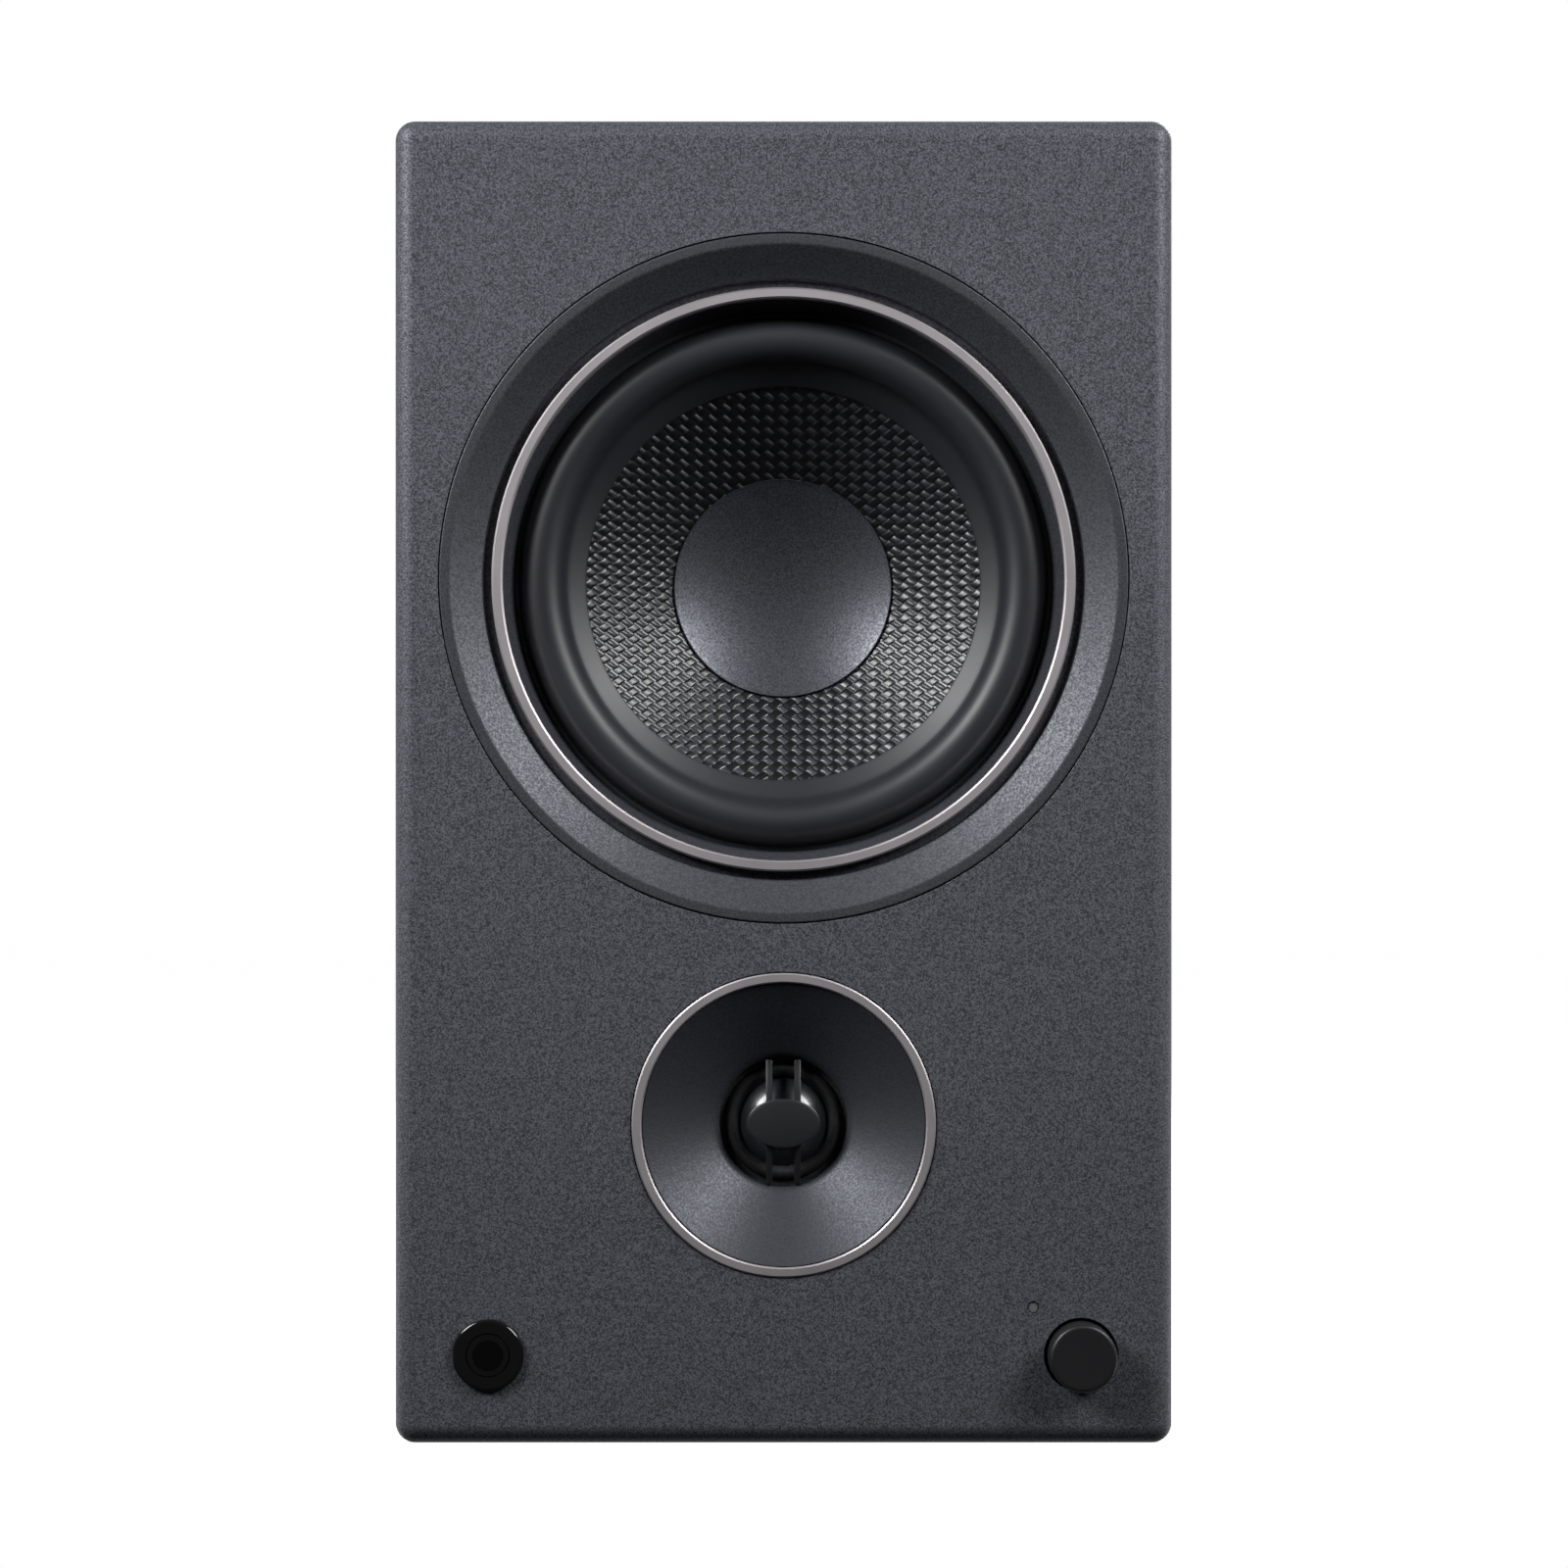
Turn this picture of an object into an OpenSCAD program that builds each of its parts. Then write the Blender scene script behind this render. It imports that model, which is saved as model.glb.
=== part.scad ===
// Powered two-way bookshelf speaker: a vinyl-wrapped board cabinet with a recessed woofer above,
// a dome tweeter in a conical waveguide below, a volume knob and a remote-control window at the
// front, and a reflex port and an amplifier plate at the back.
// Millimetres. +Z is up and the baffle faces -Y. The origin is on the resting plane, under the middle.
// Depths are counted from the baffle's front face towards the back.

/* [Cabinet] */
// Width of the cabinet
cabinet_w = 171; // [168:1:260]
// Height of the cabinet
cabinet_h = 291; // [286:1:400]
// Depth of the cabinet, baffle to rear edge
cabinet_d = 220; // [180:1:320]
// Thickness of the front baffle
baffle_t = 22; // [21:0.5:32]
// Thickness of the sleeve's side, top and bottom boards
wall_t = 12; // [9:0.5:16]
// Thickness of the rear board
rear_t = 12; // [9:0.5:18]
// Radius of the sleeve's four long corners
corner_r = 4.4; // [2:0.2:8]

/* [Woofer] */
// Distance from the cabinet's top edge down to the woofer's axis
woofer_from_top = 100.9; // [92:0.1:110]
// Outer radius of the steel frame's flange
frame_r = 66.5; // [55.4:0.1:67]
// Width of the rubber half-roll
roll_w = 9.3; // [7:0.1:11]
// Radius of the dust cap's rim
cap_r = 24.7; // [20:0.1:28]
// Depth that the dust cap is dished
cap_dish = 6; // [2:0.1:7]
// Outer radius of the voice-coil former
former_r = 12.8; // [10:0.1:15]
// Travel of the cone each way
woofer_stroke = 4; // [1:0.5:4]
// Outer radius of the ferrite ring magnet
magnet_r = 42.5; // [38:0.5:45]
// Thickness of the ferrite ring magnet
magnet_t = 15; // [10:1:20]

/* [Tweeter] */
// Gap between the woofer trim's edge and the tweeter ring's edge
driver_gap = 11; // [6:0.5:14]
// Outer radius of the tweeter's metal ring
tweeter_r = 33.35; // [30:0.05:36]
// Radius of the waveguide's throat
throat_r = 14.2; // [13.8:0.1:16]
// Radius of the dome at its rim
dome_r = 9.9; // [8:0.1:10.5]
// Height of the dome
dome_h = 4.6; // [3:0.1:5]

/* [Front controls] */
// Radius of the volume knob
knob_r = 7.4; // [5:0.1:10]
// How far the knob stands proud of the baffle
knob_proud = 7; // [4:0.5:12]
// Travel of the knob's push switch
push_travel = 0.6; // [0.3:0.1:1]
// Radius of the remote-control window
lens_r = 7.9; // [6:0.1:10]
// Radius of the light pipe
light_pipe_r = 1.2; // [0.8:0.1:2]

/* [Port] */
// Inner radius of the reflex port
port_r = 20; // [14:0.5:22]
// Length of the port, mouth to inner end
port_len = 110; // [60:1:120]

/* [Amplifier] */
// Width of the amplifier plate
plate_w = 128; // [122:1:140]
// Height of the amplifier plate
plate_h = 170; // [165:1:178]
// Distance between the two binding posts
post_pitch = 19; // [17:0.5:24]
// Radius of a binding post's screw-down cap
post_cap_r = 6.4; // [5:0.1:7.7]

/* [Hidden] */
$fn = 96;
eps = 1;             // how far a cutter runs past the face that it cuts
seat_gap = 0.1;      // play of a piece that is set into a recess
bearing_gap = 0.05;  // radial play of a shaft in its bearing
glue_line = 0.05;    // thickness of a glued joint between moving and fixed pieces

// --- binding posts, which set how far the object reaches behind the cabinet
plate_t = 2;
post_base_t = 3;
post_cap_l = 12;
washer_t = 0.8;
washer_gap = 0.05;   // play on each face of the washer when the cap is screwed down
post_cap_from = plate_t + post_base_t + washer_t + 2 * washer_gap;
rear_proud = post_cap_from + post_cap_l;

// --- cabinet
front_y = -(cabinet_d + rear_proud - knob_proud) / 2;
inner_w = cabinet_w - 2 * wall_t;
inner_h = cabinet_h - 2 * wall_t;
rear_depth = cabinet_d - rear_t;

// --- woofer, depths from the baffle's front face
woofer_z = cabinet_h - woofer_from_top;
trim_play = 0.25;
trim_r = frame_r + 9.1;
trim_lip = 2.2;
trim_wall = 2.2;
trim_back = 9;
funnel_in = frame_r - 0.2;
funnel_depth = 4.6;
groove_depth = 6.2;
groove_floor_t = 2.2;
accent_out = frame_r - 2.15;
accent_w = 2.4;
accent_front = 3.4;
accent_bevel = 0.35;
snout_r = frame_r - 6.6;
snout_t = 1.3;
snout_end = 12;
peg_r = 2;
peg_at = trim_r - 5.6;
peg_end = 15;
peg_count = 4;
frame_front = 13;
frame_t = 2.5;
sheet_t = 1.5;
gasket_t = 1;
frame_bore = frame_r - 8;
seat_depth = frame_front + frame_t + gasket_t;
woofer_hole_r = frame_r - 6;
screw_at = frame_r - 2.6;
screw_head_r = 2.4;
screw_head_h = 1.8;
screw_r = 1.5;
screw_l = 7;
screw_count = 4;
rubber_t = 0.6;
roll_out = frame_r - 8.2;
roll_mid = roll_out - roll_w / 2;
cone_r = roll_out - roll_w;
cone_front = frame_front + 0.1;
cone_slope = 0.65;
cone_t = 0.8;
flange_in = cone_r - 5;
neck_depth = cone_front + (cone_r - former_r) * cone_slope;
former_t = 0.35;
coil_t = 0.6;
coil_l = 12;
magnet_gap = 0.5;
spider_depth = neck_depth + cone_t + woofer_stroke + 1.2;
spider_wave = 1.1;
spider_t = 0.5;
spider_turns = 5;
spider_flat = 3;
spider_out = cone_r - 6;
spider_glue = 4;
ledge_depth = spider_depth + spider_t / 2;
plate_depth = ledge_depth + 6.5;
top_plate_t = 5;
motor_front = plate_depth + sheet_t;
magnet_front = motor_front + top_plate_t;
back_plate_depth = magnet_front + magnet_t;
back_plate_t = 5;
top_plate_r = magnet_r - 2.5;
motor_mount_r = spider_out - 7;
pole_r = former_r - former_t - magnet_gap;
vent_r = 4;
coil_mid = motor_front + top_plate_t / 2;
former_end = coil_mid + coil_l / 2 + 0.5;
frame_legs = 6;
leg_pitch = 360 / frame_legs;
window_angle = 40;
tag_x = 11;
tag_y = spider_out + spider_glue + sheet_t + 8;
tag_w = 3.2;
tag_l = 6;
strip_depth = ledge_depth + sheet_t;
strip_reach = tag_y - spider_out + 1;
strip_t = 2;

// --- tweeter
ring_w = 2.15;
ring_proud = 0.5;
ring_seat = 1.5;
tweeter_z = woofer_z - trim_r - driver_gap - tweeter_r;
tweeter_play = 0.25;
guide_r = tweeter_r - ring_w - seat_gap;
guide_start = 0.3;
guide_end_r = throat_r + 1.3;
guide_end = 9.2;
throat_depth = 10.8;
guide_flange = 5;
guide_boss_r = throat_r + 9.8;
guide_back = 13;
tweeter_hole_r = tweeter_r - 5.35;
diaphragm_depth = guide_back + 0.6;
diaphragm_t = 0.25;
tweeter_roll_out = throat_r - 1;
tweeter_roll_t = 0.3;
tweeter_motor = guide_back + 1;
tweeter_plate_t = 3;
tweeter_magnet_t = 8;
tweeter_back_t = 3;
tweeter_coil_t = 0.3;
bar_w = 1.35;
bar_at = 3.18;
bridge_rise = 3.5;
bridge_t = 1.3;
bridge_foot = throat_depth + 0.3;
oval_w = 15.7;
oval_h = 10.45;
cup_r = guide_boss_r + 2.5;
cup_t = 1.5;
cup_end = tweeter_motor + tweeter_plate_t + tweeter_magnet_t + tweeter_back_t + 6;

// --- front controls
control_from_side = 20.6;
control_z = 19.8;
knob_x = cabinet_w / 2 - control_from_side + 0.3;
lens_x = -(cabinet_w / 2 - control_from_side - 0.1);
knob_hole_r = knob_r + 0.7;
knob_skirt = 4;
knob_edge = 0.8;
shaft_r = 3;
shaft_grip = 5;
pocket_front = 6;
pocket_out = 7.5;
pocket_in = 14;
pocket_down = 6.8;
pocket_up = 15;
board_t = 1.6;
board_depth = baffle_t;
board_edge = 0.5;
board_span = 27;
board_rise = 26;
encoder_w = 12;
encoder_h = 6.6;
bush_r = 4.2;
bush_l = 4.5;
encoder_front = board_depth - encoder_h;
plunger_r = 2.4;
plunger_t = 1.4;
led_x = knob_x - 10.5;
led_z = control_z + 10.4;
lens_proud = 1.3;
lens_stem = lens_r - 0.65;
lens_well_r = 4.8;
receiver_r = 3.4;

// --- port
port_wall = 2.5;
flare_r = 8;
port_flange_t = 2;
port_flange_r = port_r + flare_r + 4;
port_z = cabinet_h - wall_t - port_flange_r - 8;

// --- amplifier
plate_z = 14;
cutout_w = plate_w - 24;
cutout_h = plate_h - 24;
cutout_z = plate_z + 12;
plate_face = cabinet_d + plate_t;
board_w = cutout_w - 6;
board_h = cutout_h - 38;
board_z = cutout_z + cutout_h - board_h - 3;
amp_board = cabinet_d - 12;
rca_r = 4.15;
rca_bore = 1.6;
rca_wall = 0.7;
rca_l = 9;
rca_z = cutout_z + cutout_h - 16;
rca_pitch = 16;
rca_x = [-rca_pitch - 20, -20, 28];
post_z = plate_z + 84;
post_r = 3;
banana_r = 2;
banana_l = 13;
post_base_r = 6.8;
post_neck_r = 4.9;
knurl_r = 0.9;
knurls = 16;
inlet_x = 28;
switch_x = -28;
mains_z = cutout_z + 17;
inlet_w = 26;
inlet_h = 16;
inlet_well_r = 4.4;
inlet_pin_at = 4.3;
inlet_well_l = 13;
pin_r = 1.2;
switch_w = 15;
switch_h = 21;
rocker_w = 9.6;
rocker_h = 15;
rocker_tilt = 8;
rocker_side_gap = 0.3;
rocker_end_gap = 0.6;
pivot_r = 1.2;
pivot_depth = plate_face - 1.5;
pivot_reach = 1.05;  // how far each pivot pin stands out of the rocker's side
switch_lip = 1.6;
switch_well = 8;
switch_body_l = 14;
plate_screw_at = 6;
plate_screw_r = 1.5;
plate_screw_l = 9;

// Places its children, drawn about Z, on an axis that runs along +Y, from a depth behind the baffle's face.
module on_axis(x, z, depth = 0) {
    translate([x, front_y + depth, z]) rotate([-90, 0, 0]) children();
}

// Extrudes a front view, drawn in X and Z, from one depth to another.
module slab(from, to) {
    translate([0, front_y + to, 0]) rotate([90, 0, 0]) linear_extrude(to - from) children();
}

// A disc about the axis, between two depths.
module disc(r, from, to) {
    translate([0, 0, from]) cylinder(r = r, h = to - from);
}

// A ring about the axis, between two depths.
module ring(outer, inner, from, to) {
    difference() {
        disc(outer, from, to);
        disc(inner, from - eps, to + eps);
    }
}

module turned(points) {
    rotate_extrude() polygon(points);
}

// The cabinet's outline, seen from the front.
module outline() {
    translate([-cabinet_w / 2 + corner_r, 0]) square([cabinet_w - 2 * corner_r, cabinet_h]);
    translate([-cabinet_w / 2, corner_r]) square([cabinet_w, cabinet_h - 2 * corner_r]);
    for (x = [-1, 1], z = [corner_r, cabinet_h - corner_r])
        translate([x * (cabinet_w / 2 - corner_r), z]) circle(corner_r);
}

// A wire of round section along a cubic curve with four control points.
function curve_point(p, t) = p[0] * pow(1 - t, 3) + 3 * p[1] * t * pow(1 - t, 2)
    + 3 * p[2] * t * t * (1 - t) + p[3] * pow(t, 3);
function curve_slope(p, t) = 3 * (p[1] - p[0]) * pow(1 - t, 2) + 6 * (p[2] - p[1]) * t * (1 - t)
    + 3 * (p[3] - p[2]) * t * t;
function unit(v) = v / norm(v);

module wire(p, r, rings = 24, sides = 8) {
    corners = [for (i = [0:rings])
        let (c = curve_point(p, i / rings), f = unit(curve_slope(p, i / rings)),
             u = unit(cross([1, 0, 0], f)), v = cross(f, u))
        for (k = [0:sides - 1]) c + r * (cos(360 * k / sides) * u + sin(360 * k / sides) * v)];
    start = [[for (k = [0:sides - 1]) k]];
    end = [[for (k = [sides - 1:-1:0]) rings * sides + k]];
    walls = [for (i = [0:rings - 1], k = [0:sides - 1])
        [i * sides + k, (i + 1) * sides + k, (i + 1) * sides + (k + 1) % sides, i * sides + (k + 1) % sides]];
    polyhedron(points = corners, faces = concat(start, walls, end), convexity = 4);
}

// ---------------------------------------------------------------- cabinet

module front_baffle() {
    color("#2b2d31")
    difference() {
        slab(0, baffle_t) outline();
        on_axis(0, woofer_z) {
            disc(trim_r + trim_play, -eps, trim_back);
            disc(frame_r + trim_play, -eps, seat_depth);
            disc(woofer_hole_r, -eps, baffle_t + eps);
            for (a = [0:360 / peg_count:359]) rotate([0, 0, a])
                translate([peg_at, 0, 0]) disc(peg_r + seat_gap, trim_back - eps, peg_end + 0.5);
            for (a = [0:360 / screw_count:359]) rotate([0, 0, a + 45])
                translate([screw_at, 0, 0]) disc(screw_r, seat_depth - eps, baffle_t + eps);
        }
        on_axis(0, tweeter_z) {
            disc(tweeter_r + tweeter_play, -eps, guide_flange);
            disc(tweeter_hole_r, -eps, baffle_t + eps);
        }
        on_axis(knob_x, control_z) disc(knob_hole_r, -eps, baffle_t);
        on_axis(lens_x, control_z) disc(lens_stem + seat_gap, -eps, baffle_t);
        on_axis(led_x, led_z) disc(light_pipe_r + seat_gap, -eps, baffle_t);
        slab(pocket_front, baffle_t + eps) {
            translate([knob_x - pocket_in, control_z - pocket_down])
                square([pocket_in + pocket_out, pocket_down + pocket_up]);
            translate([lens_x - pocket_out, control_z - pocket_down])
                square([pocket_in + pocket_out, pocket_down + pocket_up]);
        }
    }
}

// One board of the sleeve: the outline cut by two 45 degree mitres. The points are its front view.
module sleeve_board(points) {
    slab(baffle_t, cabinet_d) intersection() {
        outline();
        polygon(points);
    }
}

module side_panels() {
    color("#25262a")
    for (s = [-1, 1])
        sleeve_board([[s * cabinet_w / 2, 0], [s * cabinet_w / 2, cabinet_h],
            [s * inner_w / 2, cabinet_h - wall_t], [s * inner_w / 2, wall_t]]);
}

module top_and_bottom_panels() {
    color("#25262a") {
        sleeve_board([[-cabinet_w / 2, 0], [cabinet_w / 2, 0],
            [inner_w / 2, wall_t], [-inner_w / 2, wall_t]]);
        sleeve_board([[-cabinet_w / 2, cabinet_h], [cabinet_w / 2, cabinet_h],
            [inner_w / 2, cabinet_h - wall_t], [-inner_w / 2, cabinet_h - wall_t]]);
    }
}

module rear_panel() {
    color("#232428")
    difference() {
        slab(rear_depth, cabinet_d)
            translate([-inner_w / 2, wall_t]) square([inner_w, inner_h]);
        slab(rear_depth - eps, cabinet_d + eps)
            translate([-cutout_w / 2, cutout_z]) square([cutout_w, cutout_h]);
        on_axis(0, port_z) disc(port_r + flare_r + seat_gap, rear_depth - eps, cabinet_d + eps);
        plate_screw_places() disc(plate_screw_r, -plate_screw_l, eps);
    }
}

module window_brace() {
    brace_t = 9;
    brace_z = woofer_z - frame_r - brace_t - 3;
    brace_end = cabinet_d - 70;
    brace_mid = (baffle_t + brace_end) / 2;
    window_r = 22;
    window_at = inner_w / 5;
    color("#a98a5d")
    translate([0, front_y, brace_z]) difference() {
        translate([-inner_w / 2, baffle_t, 0]) cube([inner_w, brace_end - baffle_t, brace_t]);
        for (s = [-1, 1]) translate([s * window_at, brace_mid, -eps]) cylinder(r = window_r, h = brace_t + 2 * eps);
        translate([-window_at, brace_mid - window_r, -eps])
            cube([2 * window_at, 2 * window_r, brace_t + 2 * eps]);
    }
}

module damping_wadding() {
    pad_t = 18;
    pad_l = 70;
    pad_from = baffle_t + 31;
    pad_z = woofer_z - frame_r;
    color("#cfcfca")
    for (s = [-1, 1])
        translate([s * (inner_w - pad_t) / 2, front_y + pad_from + pad_l / 2, (pad_z + cabinet_h - wall_t) / 2])
            cube([pad_t, pad_l, cabinet_h - wall_t - pad_z - 4], center = true);
}

// The port's wall, whose two mouths curl outwards through a quarter circle each.
module port_profile() {
    curl_r = port_r + flare_r;
    outer_curl = flare_r - port_flange_t;
    inner_curl = port_len - port_flange_t - flare_r;
    difference() {
        union() {
            translate([curl_r, outer_curl]) circle(flare_r);
            translate([curl_r, inner_curl]) circle(flare_r);
        }
        translate([curl_r, outer_curl]) circle(flare_r - port_wall);
        translate([curl_r, inner_curl]) circle(flare_r - port_wall);
        translate([port_r, outer_curl]) square([2 * flare_r + eps, inner_curl - outer_curl]);
        translate([curl_r, -2 * flare_r]) square([flare_r + eps, port_len + 4 * flare_r]);
    }
    translate([port_r, outer_curl]) square([port_wall, inner_curl - outer_curl]);
    translate([curl_r, -port_flange_t]) square([port_flange_r - curl_r, port_flange_t]);
}

module port_tube() {
    color("#17181a")
    on_axis(0, port_z, cabinet_d) mirror([0, 0, 1]) rotate_extrude() port_profile();
}

// ---------------------------------------------------------------- woofer

module woofer_trim_ring() {
    color("#2f3136")
    on_axis(0, woofer_z) {
        turned([
            [trim_r, 0], [trim_r, trim_back], [trim_r - trim_wall, trim_back],
            [trim_r - trim_wall, 3], [funnel_in + 1.3, groove_depth + 0.7],
            [funnel_in + 0.9, groove_depth + groove_floor_t],
            [accent_out - accent_w + 0.6, groove_depth + groove_floor_t],
            [snout_r + snout_t, snout_end], [snout_r, snout_end],
            [accent_out - accent_w - 0.15, groove_depth], [funnel_in - 0.2, groove_depth],
            [funnel_in, funnel_depth], [trim_r - trim_lip, 0]
        ]);
        for (a = [0:360 / peg_count:359]) rotate([0, 0, a])
            translate([peg_at, 0, 0]) disc(peg_r, funnel_depth, peg_end);
    }
}

module woofer_accent_ring() {
    inner = accent_out - accent_w;
    color("#a89fa3")
    on_axis(0, woofer_z) turned([
        [inner, groove_depth], [inner, accent_front + accent_bevel],
        [inner + accent_bevel, accent_front], [accent_out - accent_bevel, accent_front],
        [accent_out, accent_front + accent_bevel], [accent_out, groove_depth]
    ]);
}

module woofer_frame() {
    color("#3a3c40")
    on_axis(0, woofer_z) difference() {
        turned([
            [frame_r, frame_front], [frame_r, frame_front + frame_t],
            [frame_bore + sheet_t, frame_front + frame_t],
            [spider_out + spider_glue + sheet_t, ledge_depth],
            [spider_out + spider_glue + sheet_t, ledge_depth + sheet_t],
            [spider_out - 1 + sheet_t, ledge_depth + sheet_t], [motor_mount_r + sheet_t, plate_depth + sheet_t],
            [former_r + 3, plate_depth + sheet_t], [former_r + 3, plate_depth],
            [motor_mount_r, plate_depth], [spider_out - 1, ledge_depth],
            [spider_out + spider_glue, ledge_depth], [frame_bore, frame_front + frame_t],
            [frame_bore, frame_front]
        ]);
        for (i = [0:frame_legs - 1])
            rotate([0, 0, i * leg_pitch + (leg_pitch - window_angle) / 2 + leg_pitch / 2])
            rotate_extrude(angle = window_angle)
                translate([spider_out + spider_glue + 1, seat_depth + 3])
                    square([frame_r, ledge_depth - seat_depth - 7]);
        for (a = [0:360 / screw_count:359]) rotate([0, 0, a + 45])
            translate([screw_at, 0, 0]) disc(screw_r + 0.3, frame_front - eps, frame_front + frame_t + eps);
    }
}

module woofer_gasket() {
    color("#101012")
    on_axis(0, woofer_z) difference() {
        ring(frame_r - 0.2, woofer_hole_r + 0.3, frame_front + frame_t, seat_depth);
        for (a = [0:360 / screw_count:359]) rotate([0, 0, a + 45])
            translate([screw_at, 0, 0]) disc(screw_r + 0.3, frame_front, seat_depth + eps);
    }
}

module woofer_screws() {
    color("#1c1c1e")
    on_axis(0, woofer_z) for (a = [0:360 / screw_count:359]) rotate([0, 0, a + 45])
        translate([screw_at, 0, 0]) difference() {
            union() {
                disc(screw_head_r, frame_front - screw_head_h, frame_front);
                disc(screw_r, frame_front - eps / 2, min(frame_front + frame_t + screw_l, baffle_t));
            }
            for (t = [0, 90]) rotate([0, 0, t])
                translate([-1.6, -0.35, frame_front - screw_head_h - eps]) cube([3.2, 0.7, eps + 1]);
        }
}

// The roll's glued skirt, between two heights over the cone's front.
module skirt(top, bottom) {
    fall = (cone_r - flange_in) * cone_slope;
    tab = rubber_t / 4;
    polygon([
        [cone_r + tab, cone_front - top], [cone_r + tab, frame_front], [cone_r - tab, frame_front],
        [flange_in, cone_front + fall - bottom], [flange_in, cone_front + fall - top]
    ]);
}

module woofer_surround() {
    roll_depth = frame_front - rubber_t / 2;
    color("#141416")
    on_axis(0, woofer_z) rotate_extrude() {
        difference() {
            translate([roll_mid, roll_depth]) circle(roll_w / 2 + rubber_t / 2);
            translate([roll_mid, roll_depth]) circle(roll_w / 2 - rubber_t / 2);
            translate([roll_mid - roll_w, roll_depth + rubber_t / 2]) square([2 * roll_w, roll_w]);
        }
        translate([roll_out - rubber_t / 2, frame_front - rubber_t]) square([2.6, rubber_t]);
        skirt(rubber_t + glue_line, glue_line);
    }
}

module woofer_cone() {
    color("#1d1e21")
    on_axis(0, woofer_z) turned([
        [cone_r, cone_front], [former_r, neck_depth], [former_r, neck_depth + cone_t], [cone_r, cone_front + cone_t]
    ]);
}

// The dust cap is the dished part of a sphere, glued to the cone at its rim.
module woofer_dust_cap() {
    cap_t = 0.6;
    rim = cone_front + (cone_r - cap_r) * cone_slope - 0.1;
    sphere_r = (cap_r * cap_r + cap_dish * cap_dish) / (2 * cap_dish);
    color("#34363a")
    on_axis(0, woofer_z) difference() {
        disc(cap_r, rim - cap_t, rim + cap_dish);
        translate([0, 0, rim - cap_t + cap_dish - sphere_r]) sphere(sphere_r);
        rotate_extrude() difference() {
            translate([0, rim]) square([cap_r + eps, cap_dish + eps]);
            translate([0, rim + cap_dish - sphere_r]) circle(sphere_r);
            translate([-3 * sphere_r, -sphere_r]) square([3 * sphere_r, 4 * sphere_r]);
        }
    }
}

module woofer_coil_former() {
    color("#b08d57")
    on_axis(0, woofer_z) ring(former_r, former_r - former_t, neck_depth - 1, former_end);
}

module woofer_voice_coil() {
    color("#b5652b")
    on_axis(0, woofer_z)
        ring(former_r + coil_t, former_r, coil_mid - coil_l / 2, coil_mid + coil_l / 2);
}

// A flat disc of treated cloth with concentric waves, glued to the frame's ledge.
module woofer_spider() {
    steps = 6 * spider_turns;
    inner = former_r + 2 * bearing_gap;
    wave_from = inner + spider_flat;
    wave_w = spider_out - wave_from;
    function wave(i) = spider_depth + spider_wave * sin(360 * spider_turns * i / steps);
    function radius(i) = wave_from + wave_w * i / steps;
    color("#b9a066")
    on_axis(0, woofer_z) turned(concat(
        [[inner, spider_depth - spider_t / 2]],
        [for (i = [0:steps]) [radius(i), wave(i) - spider_t / 2]],
        [[spider_out + spider_glue - seat_gap, spider_depth - spider_t / 2],
         [spider_out + spider_glue - seat_gap, spider_depth + spider_t / 2]],
        [for (i = [steps:-1:0]) [radius(i), wave(i) + spider_t / 2]],
        [[inner, spider_depth + spider_t / 2]]
    ));
}

module woofer_top_plate() {
    color("#8d9095")
    on_axis(0, woofer_z)
        ring(top_plate_r, former_r + coil_t + magnet_gap, motor_front, motor_front + top_plate_t);
}

module woofer_magnet() {
    color("#3b3b3d")
    on_axis(0, woofer_z) ring(magnet_r, former_r + coil_t + 6, magnet_front, back_plate_depth);
}

module woofer_pole_plate() {
    color("#8d9095")
    on_axis(0, woofer_z) difference() {
        union() {
            disc(pole_r, motor_front, back_plate_depth + eps);
            disc(top_plate_r, back_plate_depth, back_plate_depth + back_plate_t);
        }
        disc(vent_r, motor_front - eps, back_plate_depth + back_plate_t + eps);
    }
}

// The tag strip lies on the back of the frame's ledge, across the lowest leg.
module woofer_terminals() {
    strip_w = 2 * tag_x + 7;
    color("#7a5a2c")
    on_axis(0, woofer_z) {
        translate([-strip_w / 2, spider_out + 1.5, strip_depth]) cube([strip_w, strip_reach, strip_t]);
        for (s = [-1, 1]) translate([s * tag_x - tag_w / 2, tag_y, strip_depth + strip_t - 0.2])
            cube([tag_w, 0.8, tag_l + 0.2]);
    }
}

// Braided leads that loop from the strip, through a window of the frame, to the back of the cone.
module woofer_tinsel_leads() {
    lead_r = 0.5;
    glue_at = former_r + 7;
    glue_depth = cone_front + (cone_r - glue_at) * cone_slope + cone_t + lead_r + 0.2;
    color("#9c8a62")
    on_axis(0, woofer_z) for (s = [-1, 1]) wire([
        [s * tag_x, tag_y - 2.5, strip_depth - 0.1],
        [s * tag_x, tag_y - 1, ledge_depth - 16],
        [s * 8, cone_r - 10, glue_depth + 2],
        [s * 5, glue_at, glue_depth]
    ], lead_r, 16);
}

// ---------------------------------------------------------------- tweeter

module tweeter_waveguide() {
    color("#33353a")
    on_axis(0, tweeter_z) turned([
        [tweeter_r, ring_seat], [tweeter_r, guide_flange], [guide_boss_r + 3, guide_flange],
        [guide_boss_r, guide_flange + 2.5], [guide_boss_r, guide_back], [throat_r, guide_back],
        [throat_r, throat_depth], [throat_r + 0.12, throat_depth - 0.6], [throat_r + 0.45, throat_depth - 1.1],
        [throat_r + 0.85, throat_depth - 1.42],
        [guide_end_r, guide_end], [guide_r, guide_start], [guide_r, ring_seat]
    ]);
}

module tweeter_accent_ring() {
    inner = tweeter_r - ring_w;
    bevel = 0.3;
    color("#a1999c")
    on_axis(0, tweeter_z) turned([
        [inner, ring_seat], [inner, bevel - ring_proud], [inner + bevel, -ring_proud],
        [tweeter_r - bevel, -ring_proud], [tweeter_r, bevel - ring_proud], [tweeter_r, ring_seat]
    ]);
}

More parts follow.
